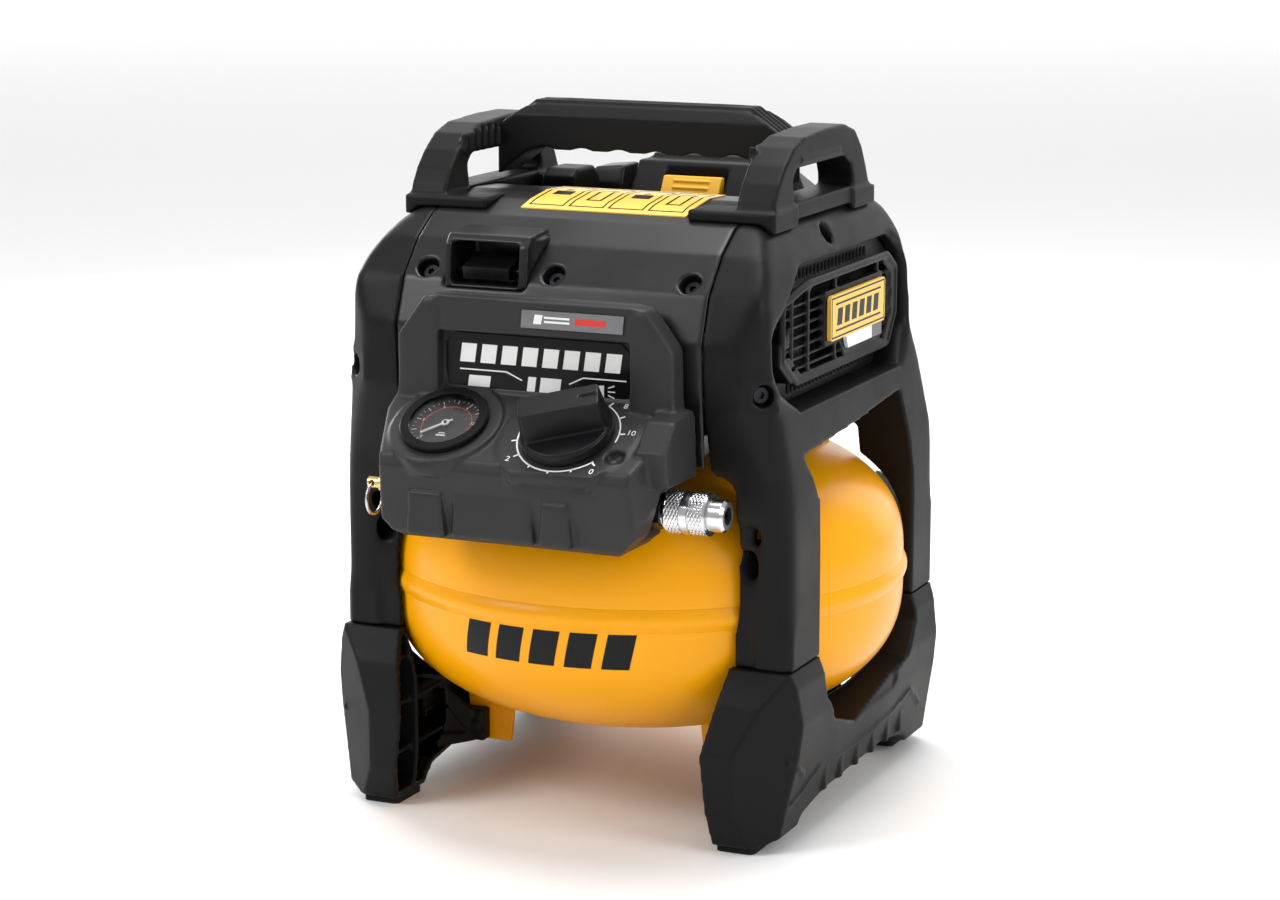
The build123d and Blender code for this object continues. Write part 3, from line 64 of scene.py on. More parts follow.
# ---- Material nodes ---------------------------------------------------------------------------
class Shader:
    """Small builder for a Principled material with procedural detail."""

    def __init__(self, name, colour, roughness, metallic=0.0):
        self.material = bpy.data.materials.new(name)
        self.material.use_nodes = True
        self.tree = self.material.node_tree
        self.shader = self.tree.nodes["Principled BSDF"]
        self.shader.inputs["Base Color"].default_value = (*colour, 1)
        self.shader.inputs["Roughness"].default_value = roughness
        self.shader.inputs["Metallic"].default_value = metallic
        self.place = self.tree.nodes.new("ShaderNodeTexCoord").outputs["Object"]
        self.normal = None

    def noise(self, scale, detail=2.0, rough=0.5, stretch=None):
        """Noise over the object's own coordinates, scale counted per metre."""
        node = self.tree.nodes.new("ShaderNodeTexNoise")
        node.inputs["Scale"].default_value = scale
        node.inputs["Detail"].default_value = detail
        node.inputs["Roughness"].default_value = rough
        place = self.place
        if stretch:
            mapping = self.tree.nodes.new("ShaderNodeMapping")
            mapping.inputs["Scale"].default_value = stretch
            self.tree.links.new(place, mapping.inputs["Vector"])
            place = mapping.outputs["Vector"]
        self.tree.links.new(place, node.inputs["Vector"])
        return node.outputs["Fac"]

    def spread(self, value, low, high, start=0.3, end=0.7):
        """Map a 0..1 value onto a range."""
        node = self.tree.nodes.new("ShaderNodeMapRange")
        node.inputs["From Min"].default_value = start
        node.inputs["From Max"].default_value = end
        node.inputs["To Min"].default_value = low
        node.inputs["To Max"].default_value = high
        self.tree.links.new(value, node.inputs["Value"])
        return node.outputs["Result"]

    def bump(self, height, distance, strength=1.0):
        """Add one layer of relief."""
        node = self.tree.nodes.new("ShaderNodeBump")
        node.inputs["Distance"].default_value = distance
        node.inputs["Strength"].default_value = strength
        self.tree.links.new(height, node.inputs["Height"])
        if self.normal is not None:
            self.tree.links.new(self.normal, node.inputs["Normal"])
        self.normal = node.outputs["Normal"]
        self.tree.links.new(self.normal, self.shader.inputs["Normal"])

    def rough(self, value, low, high):
        """Vary the roughness by a noise value."""
        self.tree.links.new(self.spread(value, low, high), self.shader.inputs["Roughness"])

    def mix(self, factor, first, second):
        """Mix two colours by a factor and return the result."""
        node = self.tree.nodes.new("ShaderNodeMix")
        node.data_type = "RGBA"
        self.tree.links.new(factor, node.inputs["Factor"])
        for socket, colour in ((node.inputs["A"], first), (node.inputs["B"], second)):
            if isinstance(colour, tuple):
                socket.default_value = (*colour, 1)
            else:
                self.tree.links.new(colour, socket)
        return node.outputs["Result"]

    def paint(self, colour):
        """Use a colour socket as the base colour."""
        self.tree.links.new(colour, self.shader.inputs["Base Color"])

    def edge_wear_and_highlight(self):
        """1 along convex edges, 0 elsewhere: where edges are painted lighter, partly as rubbed wear and
        partly as a painted highlight.
        """
        bevel = self.tree.nodes.new("ShaderNodeBevel")
        bevel.samples = 3
        bevel.inputs["Radius"].default_value = 0.0012
        geometry = self.tree.nodes.new("ShaderNodeNewGeometry")
        dot = self.tree.nodes.new("ShaderNodeVectorMath")
        dot.operation = "DOT_PRODUCT"
        self.tree.links.new(bevel.outputs["Normal"], dot.inputs[0])
        self.tree.links.new(geometry.outputs["Normal"], dot.inputs[1])
        return self.spread(dot.outputs["Value"], 1.0, 0.0, 0.93, 0.995)


def plastic(name, colour, roughness=0.5, grain=1400.0, depth=0.00006, edge=1.35, gloss=0.15):
    """Moulded plastic with an eroded grain, cloudy gloss and lighter edges, partly rubbed wear and partly a
    painted highlight.
    """
    s = Shader(name, colour, roughness)
    fine = s.noise(grain, 3.0, 0.6)
    cloud = s.noise(14.0, 3.0, 0.55)
    s.rough(cloud, roughness - 0.05, roughness + 0.07)
    s.bump(fine, depth, 0.35)
    # Edge colour painted lighter: partly rubbed wear, partly a painted highlight along the edges.
    light = tuple(min(1.0, c * edge + 0.004) for c in colour)
    dull = tuple(c * 0.86 for c in colour)
    s.paint(s.mix(s.edge_wear_and_highlight(), s.mix(s.spread(cloud, 0.0, 1.0), dull, colour), light))
    s.shader.inputs["Specular IOR Level"].default_value = gloss
    return s.material


def powder_coat(name, colour):
    """Amber powder coat: orange peel, faint colour drift, a thin clear gloss."""
    s = Shader(name, colour, 0.32)
    peel = s.noise(420.0, 2.0, 0.45)
    fine = s.noise(2200.0, 2.0, 0.5)
    cloud = s.noise(9.0, 3.0, 0.5)
    s.bump(peel, 0.00012, 0.30)
    s.bump(fine, 0.00003, 0.20)
    s.rough(cloud, 0.29, 0.38)
    deep = (colour[0] * 0.97, colour[1] * 0.95, colour[2] * 0.8)
    s.paint(s.mix(s.spread(cloud, 0.0, 1.0), deep, colour))
    s.shader.inputs["Specular IOR Level"].default_value = 0.22
    s.shader.inputs["Coat Weight"].default_value = 0.10
    s.shader.inputs["Coat Roughness"].default_value = 0.12
    return s.material


def metal(name, colour, roughness, streak=(1, 1, 1), relief=0.00002):
    """Machined or plated metal with fine tool marks and smudges."""
    s = Shader(name, colour, roughness, 1.0)
    lines = s.noise(900.0, 2.0, 0.5, streak)
    smudge = s.noise(60.0, 3.0, 0.6)
    s.rough(smudge, roughness * 0.75, roughness * 1.4)
    s.bump(lines, relief, 0.35)
    s.paint(s.mix(s.spread(smudge, 0.0, 1.0), tuple(c * 0.85 for c in colour), colour))
    return s.material


def glass(name):
    """Clear gauge window."""
    s = Shader(name, (1, 1, 1), 0.03)
    s.shader.inputs["Transmission Weight"].default_value = 1.0
    s.shader.inputs["IOR"].default_value = 1.45
    s.bump(s.noise(40.0, 2.0, 0.5), 0.00002, 0.2)
    return s.material


def print_film(name, colour, roughness=0.35):
    """Printed plastic film or paint."""
    s = Shader(name, colour, roughness)
    s.bump(s.noise(700.0, 2.0, 0.5), 0.00002, 0.3)
    s.rough(s.noise(30.0, 2.0, 0.5), roughness - 0.04, roughness + 0.06)
    return s.material


BLACK = (0.0060, 0.0060, 0.0064)
AMBER = (0.90, 0.375, 0.0)
MATERIALS = {
    "tank_yellow": powder_coat("amber_powder_coat", AMBER),
    "frame_black": plastic("frame_plastic", BLACK, 0.46),
    "shroud_black": plastic("shroud_plastic", (0.008, 0.008, 0.0085), 0.34, gloss=0.34),
    "console_grey": plastic("console_plastic", (0.026, 0.026, 0.027), 0.42, gloss=0.22),
    "grille_black": plastic("grille_plastic", (0.007, 0.007, 0.0075), 0.45),
    "handle_black": plastic("handle_plastic", (0.006, 0.006, 0.0065), 0.46),
    "battery_black": plastic("battery_plastic", (0.006, 0.006, 0.0065), 0.46),
    "knob_black": plastic("knob_plastic", (0.008, 0.008, 0.009), 0.36, 1800.0, 0.00003),
    "gloss_black": plastic("gloss_plastic", (0.007, 0.007, 0.008), 0.22, 1800.0, 0.00002),
    "rubber": plastic("foot_rubber", (0.012, 0.012, 0.012), 0.75, 900.0, 0.0001),
    "label_yellow": print_film("label_film", (0.94, 0.56, 0.09), 0.30),
    "latch_yellow": print_film("latch_plastic", (0.92, 0.46, 0.01), 0.32),
    "badge_grey": metal("badge_film", (0.22, 0.22, 0.23), 0.38, (1, 20, 20)),
    "dial_black": print_film("dial_face", (0.012, 0.012, 0.013), 0.55),
    "needle_white": print_film("white_print", (0.82, 0.82, 0.80), 0.5),
    "gauge_glass": glass("gauge_window"),
    "nickel": metal("nickel_plate", (0.80, 0.80, 0.82), 0.17, (30, 1, 1)),
    "brass": metal("machined_brass", (0.78, 0.56, 0.24), 0.26, (1, 30, 1)),
    "steel": metal("satin_steel", (0.62, 0.62, 0.64), 0.28, (20, 1, 1)),
    "dark_steel": metal("blackened_steel", (0.035, 0.035, 0.04), 0.42, (20, 1, 1)),
    "aluminium": metal("turned_aluminium", (0.72, 0.72, 0.74), 0.33, (1, 1, 20)),
    "cast_aluminium": metal("cast_aluminium", (0.50, 0.50, 0.52), 0.50, (1, 1, 1), 0.0001),
    "board_green": print_film("board_lacquer", (0.01, 0.10, 0.035), 0.4),
}
RED = print_film("red_print", (0.62, 0.03, 0.02), 0.4)
SLOT_OF = {part["node"]: part["material_slot"] for part in frame["record"]["subparts"]}
BODY_OF = {node: body for body, nodes in frame["record"]["behaviour"]["bodies"].items() for node in nodes}


# ---- Mesh helpers -----------------------------------------------------------------------------
def mesh_object(name, mesh):
    """New object in the scene from a mesh."""
    piece = bpy.data.objects.new(name, mesh)
    bpy.context.scene.collection.objects.link(piece)
    return piece


def from_bmesh(name, bm):
    """New object from a bmesh, which is freed."""
    mesh = bpy.data.meshes.new(name)
    bm.to_mesh(mesh)
    bm.free()
    return mesh_object(name, mesh)


def applied(piece):
    """Replace a piece's mesh by its evaluated one and drop its modifiers."""
    bpy.context.view_layer.update()
    graph = bpy.context.evaluated_depsgraph_get()
    mesh = bpy.data.meshes.new_from_object(piece.evaluated_get(graph))
    old = piece.data
    piece.modifiers.clear()
    piece.data = mesh
    bpy.data.meshes.remove(old)
    return piece


def smooth(piece):
    """Smooth shading on every face."""
    for face in piece.data.polygons:
        face.use_smooth = True
    return piece


def finish_piece(piece, slot, body, *nodes):
    """Material from a slot, the body, and hiding the CAD nodes that a piece stands for."""
    piece.data.materials.clear()
    piece.data.materials.append(MATERIALS[slot])
    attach(piece, body)
    if nodes:
        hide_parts(*nodes)
    return piece


def copy_node(name, node):
    """Welded copy of a CAD node's mesh."""
    bm = bmesh.new()
    bm.from_mesh(frame["nodes"][node].data)
    bmesh.ops.remove_doubles(bm, verts=bm.verts, dist=2e-6)
    return from_bmesh(name, bm)


def mirrored(piece, name):
    """Copy of a piece on the machine's other side."""
    bm = bmesh.new()
    bm.from_mesh(piece.data)
    bmesh.ops.scale(bm, vec=(-1, 1, 1), verts=bm.verts)
    bmesh.ops.reverse_faces(bm, faces=bm.faces)
    return smooth(from_bmesh(name, bm))


def lathe(name, profile, segments=192):
    """Turned surface about the tank axis from (radius, height) points in metres."""
    bm = bmesh.new()
    rings = []
    for radius, height in profile:
        if radius < 1e-6:
            rings.append([bm.verts.new((0, AXIS_Y, height))])
            continue
        ring = []
        for step in range(segments):
            angle = 2 * math.pi * step / segments
            ring.append(bm.verts.new((radius * math.cos(angle), AXIS_Y + radius * math.sin(angle), height)))
        rings.append(ring)
    for low, high in zip(rings, rings[1:]):
        for step in range(segments):
            after = (step + 1) % segments
            if len(low) == 1:
                bm.faces.new((low[0], high[after], high[step]))
            elif len(high) == 1:
                bm.faces.new((low[step], low[after], high[0]))
            else:
                bm.faces.new((low[step], low[after], high[after], high[step]))
    bmesh.ops.recalc_face_normals(bm, faces=bm.faces)
    return smooth(from_bmesh(name, bm))


# ---- Carried-over CAD nodes -------------------------------------------------------------------
def dress_cad_nodes():
    """Give every CAD node its procedural material."""
    for name, node in frame["nodes"].items():
        node.data.materials.clear()
        node.data.materials.append(MATERIALS[SLOT_OF[name]])


# ---- Tank -------------------------------------------------------------------------------------
SHELL_POWER = 2.48
SKIRT = 0.008
SHELL_STEPS = 48


def shell_profile(sign, reach, rise):
    """(radius, height) points of one shell from the axis out to the weld."""
    points = []
    for step in range(SHELL_STEPS + 1):
        angle = math.pi / 2 * (1 - step / SHELL_STEPS)
        radius = reach * max(math.cos(angle), 0.0) ** (2 / SHELL_POWER)
        height = rise * max(math.sin(angle), 0.0) ** (2 / SHELL_POWER)
        points.append((radius, TANK_SEAM + sign * (SKIRT + height)))
    points[0] = (0.0, points[0][1])
    return points + [(reach, TANK_SEAM)]


def tank():
    """Two pressed shells and the rolled band over their weld."""
    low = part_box("tank_lower_shell")[0].z
    upper = lathe("tank_upper", shell_profile(1, TANK_R, TANK_TOP - TANK_SEAM - SKIRT))
    finish_piece(upper, "tank_yellow", "base", "tank_upper_shell")
    lower = lathe("tank_lower", shell_profile(-1, TANK_R, TANK_SEAM - SKIRT - low))
    finish_piece(lower, "tank_yellow", "base", "tank_lower_shell")
    half = (BAND_HIGH.z - BAND_LOW.z) / 2
    thick = (BAND_HIGH.x - BAND_LOW.x) / 2 - TANK_R
    steps = 24
    outline = []
    for step in range(steps + 1):
        turn = step / steps * 2 - 1
        outline.append((TANK_R + thick * (1 - turn * turn) ** 1.5, TANK_SEAM + turn * half))
    outline = [(TANK_R - 0.001, TANK_SEAM - half)] + outline + [(TANK_R - 0.001, TANK_SEAM + half)]
    band = lathe("tank_band", outline)
    finish_piece(band, "tank_yellow", "base", "tank_weld_band")


# ---- Building blocks --------------------------------------------------------------------------
DECK = TANK_TOP / MM
LEG_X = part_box("side_frame_right")[1].x / MM
BOOT_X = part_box("lower_frame_right")[1].x / MM
LEG_Y = LEG_X - 21.0
VOXEL = 0.0012
AXES = {"x": (1, 2, 0), "y": (0, 2, 1), "z": (0, 1, 2)}


def prism(points, axis, start, end):
    """Closed prism of a polygon, in millimetres, between two places along an axis."""
    first, second, along = AXES[axis]
    bm = bmesh.new()
    rings = []
    for place in (start, end):
        ring = []
        for a, b in points:
            spot = [0, 0, 0]
            spot[first], spot[second], spot[along] = a, b, place
            ring.append(bm.verts.new(at(*spot)))
        rings.append(ring)
    bm.faces.new(rings[0])
    bm.faces.new(rings[1])
    for step in range(len(points)):
        after = (step + 1) % len(points)
        bm.faces.new((rings[0][step], rings[0][after], rings[1][after], rings[1][step]))
    bmesh.ops.triangulate(bm, faces=[f for f in bm.faces if len(f.verts) > 4])
    bmesh.ops.recalc_face_normals(bm, faces=bm.faces)
    return from_bmesh("prism", bm)


def box(x0, x1, y0, y1, z0, z1):
    """Closed box, in millimetres."""
    return prism([(y0, z0), (y1, z0), (y1, z1), (y0, z1)], "x", x0, x1)


def rod(start, end, radius, far_radius=None, segments=48):
    """Closed round bar or cone between two points of the frame, radius in millimetres."""
    axis = end - start
    bm = bmesh.new()
    bmesh.ops.create_cone(bm, cap_ends=True, segments=segments, radius1=radius * MM,
                          radius2=(radius if far_radius is None else far_radius) * MM, depth=axis.length)
    turn = axis.to_track_quat("Z", "Y").to_matrix().to_4x4()
    bmesh.ops.transform(bm, matrix=Matrix.Translation((start + end) / 2) @ turn, verts=bm.verts)
    return from_bmesh("rod", bm)


def ridge(points, radius):
    """Chain of round bars through points of the frame."""
    return [rod(a, b, radius, segments=12) for a, b in zip(points, points[1:])]


def cut(piece, cutters):
    """Take cutters away from a piece."""
    for cutter in cutters:
        tool = piece.modifiers.new("cut", "BOOLEAN")
        tool.operation = "DIFFERENCE"
        tool.object = cutter
        tool.solver = "EXACT"
    applied(piece)
    for cutter in cutters:
        bpy.data.objects.remove(cutter)


def weigh(piece, name, weight):
    """Vertex group whose weight is a function of the frame position in millimetres."""
    count = len(piece.data.vertices)
    spots = np.empty(count * 3)
    piece.data.vertices.foreach_get("co", spots)
    spots = spots.reshape(-1, 3) / MM
    spots[:, 1] -= AXIS_Y / MM
    values = np.clip(np.round(weight(spots) * 6), 0, 6).astype(int)
    group = piece.vertex_groups.new(name=name)
    for level in range(1, 7):
        group.add([int(i) for i in np.nonzero(values == level)[0]], level / 6, "REPLACE")
    return group.name


def melt(piece, weight, passes):
    """Round a region strongly, by a weight over frame positions."""
    name = weigh(piece, "melt", weight)
    relax = piece.modifiers.new("melt", "SMOOTH")
    relax.factor = 0.5
    relax.iterations = passes
    relax.vertex_group = name
    applied(piece)
    piece.vertex_groups.clear()


def skin(node, passes, extra=(), cuts=(), voxel=None, melts=()):
    """Soft-edged moulding over a CAD node."""
    piece = copy_node(node + "_skin", node)
    if cuts:
        cut(piece, cuts)
    bm = bmesh.new()
    bm.from_mesh(piece.data)
    for part in extra:
        bm.from_mesh(part.data)
        bpy.data.objects.remove(part)
    bm.to_mesh(piece.data)
    bm.free()
    remesh = piece.modifiers.new("skin", "REMESH")
    remesh.mode = "VOXEL"
    remesh.voxel_size = voxel or VOXEL
    relax = piece.modifiers.new("relax", "SMOOTH")
    relax.factor = 0.5
    relax.iterations = passes
    applied(piece)
    for weight, count in melts:
        melt(piece, weight, count)
    return finish_piece(smooth(piece), SLOT_OF[node], BODY_OF[node], node)


def twin(piece, node):
    """The same moulding on the other side of the machine."""
    copy = mirrored(piece, node + "_skin")
    return finish_piece(copy, SLOT_OF[node], BODY_OF[node], node)


def ramp(values, start, end):
    """0 below start, 1 above end."""
    return np.clip((values - start) / (end - start), 0, 1)


def from_line(a, b, line):
    """Distance of points (a, b) from a polyline."""
    best = np.full(len(a), 1e9)
    for (a0, b0), (a1, b1) in zip(line, line[1:]):
        da, db = a1 - a0, b1 - b0
        t = np.clip(((a - a0) * da + (b - b0) * db) / (da * da + db * db), 0, 1)
        best = np.minimum(best, np.hypot(a - a0 - t * da, b - b0 - t * db))
    return best


# ---- Side frames ------------------------------------------------------------------------------
# Outer edge of a side frame seen from the side: up the front leg, over the arch, down the rear leg.
CREST_LINE = [(-LEG_Y, DECK - 60), (-LEG_Y - 4, DECK - 4), (-LEG_Y - 17, DECK + 40), (-LEG_Y - 19, DECK + 76),
              (-LEG_Y - 9, DECK + 103), (-LEG_Y + 10, DECK + 124), (-LEG_Y + 30, DECK + 137),
              (-LEG_Y + 58, DECK + 145), (LEG_Y - 45, DECK + 145), (LEG_Y - 27, DECK + 128),
              (LEG_Y - 18, DECK + 98), (LEG_Y - 16, DECK + 50), (LEG_Y - 4, DECK), (LEG_Y + 4, DECK - 24)]


def arch_weight(spots):
    """Where the side frame's outer edge is rounded."""
    near = 1 - ramp(from_line(spots[:, 1], spots[:, 2], CREST_LINE), 24, 40)
    outside = ramp(spots[:, 0], LEG_X - 44, LEG_X - 38)
    wells = np.hypot(spots[:, 1] + LEG_Y + 8, spots[:, 2] - DECK - 48)
    top = np.hypot(spots[:, 1] + 13, spots[:, 2] - DECK - 127)
    return near * outside * ramp(wells, 11, 16) * ramp(top, 10, 15) * ramp(spots[:, 2], DECK - 100, DECK - 80)


def side_frames():
    """Upper side frames with rounded arches."""
    inner = [(LEG_X - 36, -122), (LEG_X - 24, -121.5), (LEG_X - 24, -112), (LEG_X - 34, -116)]
    web = prism(inner, "z", DECK - 47, DECK - 10)
    right = skin("side_frame_right", 4, extra=[web], melts=((arch_weight, 150),))
    twin(right, "side_frame_left")


# Embossed line on a boot and its lower bar: (front to back, height).
ZIGZAG = [(-130, 33), (-122, 29), (-111, 31), (-83, 41), (-54, 39), (-30, 38), (1, 38), (27, 40), (43, 41),
          (73, 48), (88, 40), (101, 31)]


def boots():
    """Boots with their embossed lines and the stiffeners under the lower bar."""
    def outer(y, z):
        flare = BOOT_X - 2 - 6 * min(max((57 - z) / 31, 0), 1)
        return flare - max(0.0, -LEG_Y + 1 - y) * 1.2

    extra = ridge([at(outer(y, z) + 0.1, y, z) for y, z in ZIGZAG], 1.5)
    extra += ridge([at(outer(y, z) + 0.1, y, z) for y, z in ((-128, 55), (-120, 50), (-108, 43))], 1.4)
    for y in (-70, -44, -16, 12, 38, 62):
        extra.append(box(BOOT_X - 16, outer(y, 26) + 2.2, y, y + 5, 22, 37))
    panel = [(-36, 60), (-31, 68), (39, 70), (45, 64), (38, 58), (-30, 56)]
    label = prism(panel, "x", BOOT_X - 3, BOOT_X + 10)
    right = skin("lower_frame_right", 3, extra=extra, cuts=[label])
    twin(right, "lower_frame_left")


# ---- Handles ----------------------------------------------------------------------------------
def side_handles():
    """Side handles with a ribbed inner grip."""
    x0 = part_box("side_handle_right")[0].x / MM + 29     # inner face of the grip
    extra = []
    for step in range(7):
        y = -62 + step * 9
        extra.append(box(x0 - 2.5, x0 + 2, y, y + 3, DECK + 169, DECK + 181))
    extra.append(rod(at(x0 + 23.5, -44, DECK + 172), at(x0 + 23.5, 20, DECK + 172), 1.6, segments=12))
    right = skin("side_handle_right", 5, extra=extra)
    twin(right, "side_handle_left")


def carry_handle():
    """Carry handle with grooves along its top and down its slopes."""
    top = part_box("top_handle")[1].z / MM
    rows, half = (-9, -3, 3, 9), 1.1
    grooves = [box(-90, 90, y - half, y + half, top - 2.4, top + 4) for y in rows]
    slopes = []
    for side in (-1, 1):
        line = [(side * x, top + rise) for x, rise in ((70, -2.2), (96, -20.5), (96, 2), (70, 3))]
        slopes += [prism(line, "y", y - half, y + half) for y in rows]

    def bends(p):
        across = np.abs(p[:, 0])
        return ramp(across, 55, 66) * (1 - ramp(across, 82, 90))
    skin("top_handle", 4, cuts=grooves + slopes, voxel=0.001, melts=((bends, 14),))


# ---- Console ----------------------------------------------------------------------------------
FACE_COS, FACE_SIN = 0.848, 0.53                # the instrument face leans back from level
TILT = Matrix(((1, 0, 0), (0, FACE_COS, -FACE_SIN), (0, FACE_SIN, FACE_COS)))
DIAL_LOW, DIAL_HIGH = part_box("gauge_dial")
GAUGE_X = (DIAL_LOW.x + DIAL_HIGH.x) / 2 / MM
KNOB_X = (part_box("regulator_knob")[0].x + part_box("regulator_knob")[1].x) / 2 / MM
FACE_Y, FACE_Z = -LEG_Y - 55.0, DECK + 26.0
WALL_Y = -LEG_Y - 29.0


def face_point(u, v, height=0.0):
    """Point on the reclined instrument face: across, up the slope and out of it."""
    spot = TILT @ Vector((u, v, height))
    return at(spot.x, FACE_Y + spot.y, FACE_Z + spot.z)


def console_body(p):
    """Where the console is rounded a little: in front of its wall and outside the two instruments."""
    front = 1 - ramp(p[:, 1], WALL_Y - 2, WALL_Y + 3)
    gauge = np.hypot(p[:, 0] - GAUGE_X, (p[:, 1] - FACE_Y) * 1.18)
    knob = np.hypot(p[:, 0] - KNOB_X, (p[:, 1] - FACE_Y) * 1.18)
    return front * ramp(gauge, 33, 38) * ramp(knob, 12, 16)


def console_shoulders(p):
    """Where the console is rounded strongly: its upper corners."""
    return ramp(np.abs(p[:, 0]), 60, 68) * ramp(p[:, 2], DECK + 36, DECK + 44)


def console():
    """Console with its raised surround, instrument lobes and front ribs."""
    wall = WALL_Y
    extra = [rod(face_point(GAUGE_X, 0, -8), face_point(GAUGE_X, 0, 2.2), 36, 34),
             rod(face_point(KNOB_X, 0, -8), face_point(KNOB_X, 0, 0.7), 44, 42)]
    for side in (-1, 1):
        outline = ((61, 36), (68, 30), (88, 30), (88, 74), (70, 98), (61, 90))
        flank = [(side * x, DECK + z) for x, z in outline]
        extra.append(prism(flank, "y", wall - 8, wall + 3))
    brow = [(x, DECK + z) for x, z in ((-62, 78), (62, 78), (70, 84), (66, 98), (-66, 98), (-70, 84))]
    extra.append(prism(brow, "y", wall - 7, wall + 3))
    front = -LEG_Y - 80
    for x0, x1 in ((-60, -36), (-32, 20), (24, 44)):
        rib = [(x0, DECK - 34), (x1, DECK - 34), (x1 - 2, DECK - 9), (x0 + 2, DECK - 9)]
        extra.append(prism(rib, "y", front + 0.5 if x0 != -32 else front + 2.2, front + 14))
    boss = [(-LEG_Y - y, DECK + z) for y, z in ((62, 2), (66, 22), (52, 38), (24, 42), (21, 2))]
    extra.append(prism(boss, "x", 78, 96))
    holes = [rod(face_point(GAUGE_X, 0, -12), face_point(GAUGE_X, 0, 12), 25.4),
             rod(face_point(KNOB_X, 0, -12), face_point(KNOB_X, 0, 12), 9)]
    piece = skin("console", 1, extra=extra, voxel=0.001)
    lip = box(-120, 120, -LEG_Y - 140, -LEG_Y - 82.6, DECK - 60, DECK + 80)
    cut(piece, holes + [rod(face_point(66, -14, -7), face_point(66, -14, 12), 5.5), lip])
    melt(piece, console_body, 10)
    melt(piece, console_shoulders, 90)
    smooth(piece)
    screw = rod(face_point(66, -14, -6.5), face_point(66, -14, -4), 4)
    finish_piece(screw, "dark_steel", "base")
    screw.name = "console_screw"


# ---- Printed marks ----------------------------------------------------------------------------
def flat(name, shapes, place, thickness=0.12, slot="needle_white"):
    """Thin raised print from 2-D polygons, placed by a function of (u, v, height)."""
    bm = bmesh.new()
    for shape in shapes:
        low = [bm.verts.new(place(u, v, -0.05)) for u, v in shape]
        high = [bm.verts.new(place(u, v, thickness)) for u, v in shape]
        bm.faces.new(high)
        bm.faces.new(low[::-1])
        for step in range(len(shape)):
            after = (step + 1) % len(shape)
            bm.faces.new((low[step], low[after], high[after], high[step]))
    bmesh.ops.triangulate(bm, faces=[f for f in bm.faces if len(f.verts) > 4])
    bmesh.ops.recalc_face_normals(bm, faces=bm.faces)
    piece = from_bmesh(name, bm)
    return finish_piece(piece, slot, "base")


def arc(centre, radius, start, end, width):
    """Quadrilaterals along an arc, angles in degrees."""
    steps = max(2, int(abs(end - start) / 4))
    shapes = []
    for step in range(steps):
        a0 = math.radians(start + (end - start) * step / steps)
        a1 = math.radians(start + (end - start) * (step + 1) / steps)
        shapes.append([(centre[0] + r * math.cos(a), centre[1] + r * math.sin(a))
                       for r, a in ((radius, a0), (radius + width, a0), (radius + width, a1), (radius, a1))])
    return shapes


def tick(centre, angle, inner, outer, width):
    """One radial mark."""
    a = math.radians(angle)
    out, side = Vector((math.cos(a), math.sin(a))), Vector((-math.sin(a), math.cos(a)))
    middle = Vector(centre)
    corners = (middle + out * inner + side * width, middle + out * inner - side * width,
               middle + out * outer - side * width, middle + out * outer + side * width)
    return [tuple(c) for c in corners]


def strip(u0, v0, u1, v1, width):
    """Straight printed line."""
    run = Vector((u1 - u0, v1 - v0)).normalized() * width / 2
    return [(u0 - run.y, v0 + run.x), (u0 + run.y, v0 - run.x),
            (u1 + run.y, v1 - run.x), (u1 - run.y, v1 + run.x)]


def rectangle(u0, v0, u1, v1, lean=0.0):
    """Printed block, optionally slanted."""
    return [(u0, v0), (u1, v0), (u1 + lean, v1), (u0 + lean, v1)]


def ring(u0, v0, u1, v1, width):
    """Rectangular outline as four strips."""
    return [rectangle(u0, v0, u1, v0 + width), rectangle(u0, v1 - width, u1, v1),
            rectangle(u0, v0 + width, u0 + width, v1 - width),
            rectangle(u1 - width, v0 + width, u1, v1 - width)]


def numeral(name, text, u, v, size, place, slot="needle_white"):
    """Number printed flat at a place."""
    curve = bpy.data.curves.new(name, "FONT")
    curve.body = text
    curve.size = size
    curve.align_x = "CENTER"
    curve.align_y = "CENTER"
    curve.extrude = 0.08
    temporary = bpy.data.objects.new(name, curve)
    bpy.context.scene.collection.objects.link(temporary)
    bpy.context.view_layer.update()
    mesh = bpy.data.meshes.new_from_object(temporary.evaluated_get(bpy.context.evaluated_depsgraph_get()))
    bpy.data.objects.remove(temporary)
    for vertex in mesh.vertices:
        vertex.co = place(u + vertex.co.x, v + vertex.co.y, vertex.co.z + 0.04)
    piece = mesh_object(name, mesh)
    return finish_piece(piece, slot, "base")


def knob_scale():
    """Pressure scale printed round the knob."""
    def place(u, v, height):
        return face_point(u, v, height + 0.72)
    centre = (KNOB_X, 0.0)
    shapes = arc(centre, 29.6, -190, -40, 1.0) + arc(centre, 29.6, -5, 60, 0.8)
    for angle in (-190, -165, -141, -116, -91, -66, -42, 8, 34, 60):
        shapes.append(tick(centre, angle, 29.6, 31.9 if -135 < angle < -45 else 33.6, 0.5))
    flat("knob_scale", shapes, place)
    for text, angle in (("0", -48), ("2", -141), ("8", 47), ("10", 9)):
        a = math.radians(angle)
        numeral("knob_number_" + text, text, KNOB_X + 37 * math.cos(a), 37 * math.sin(a), 5.6, place)


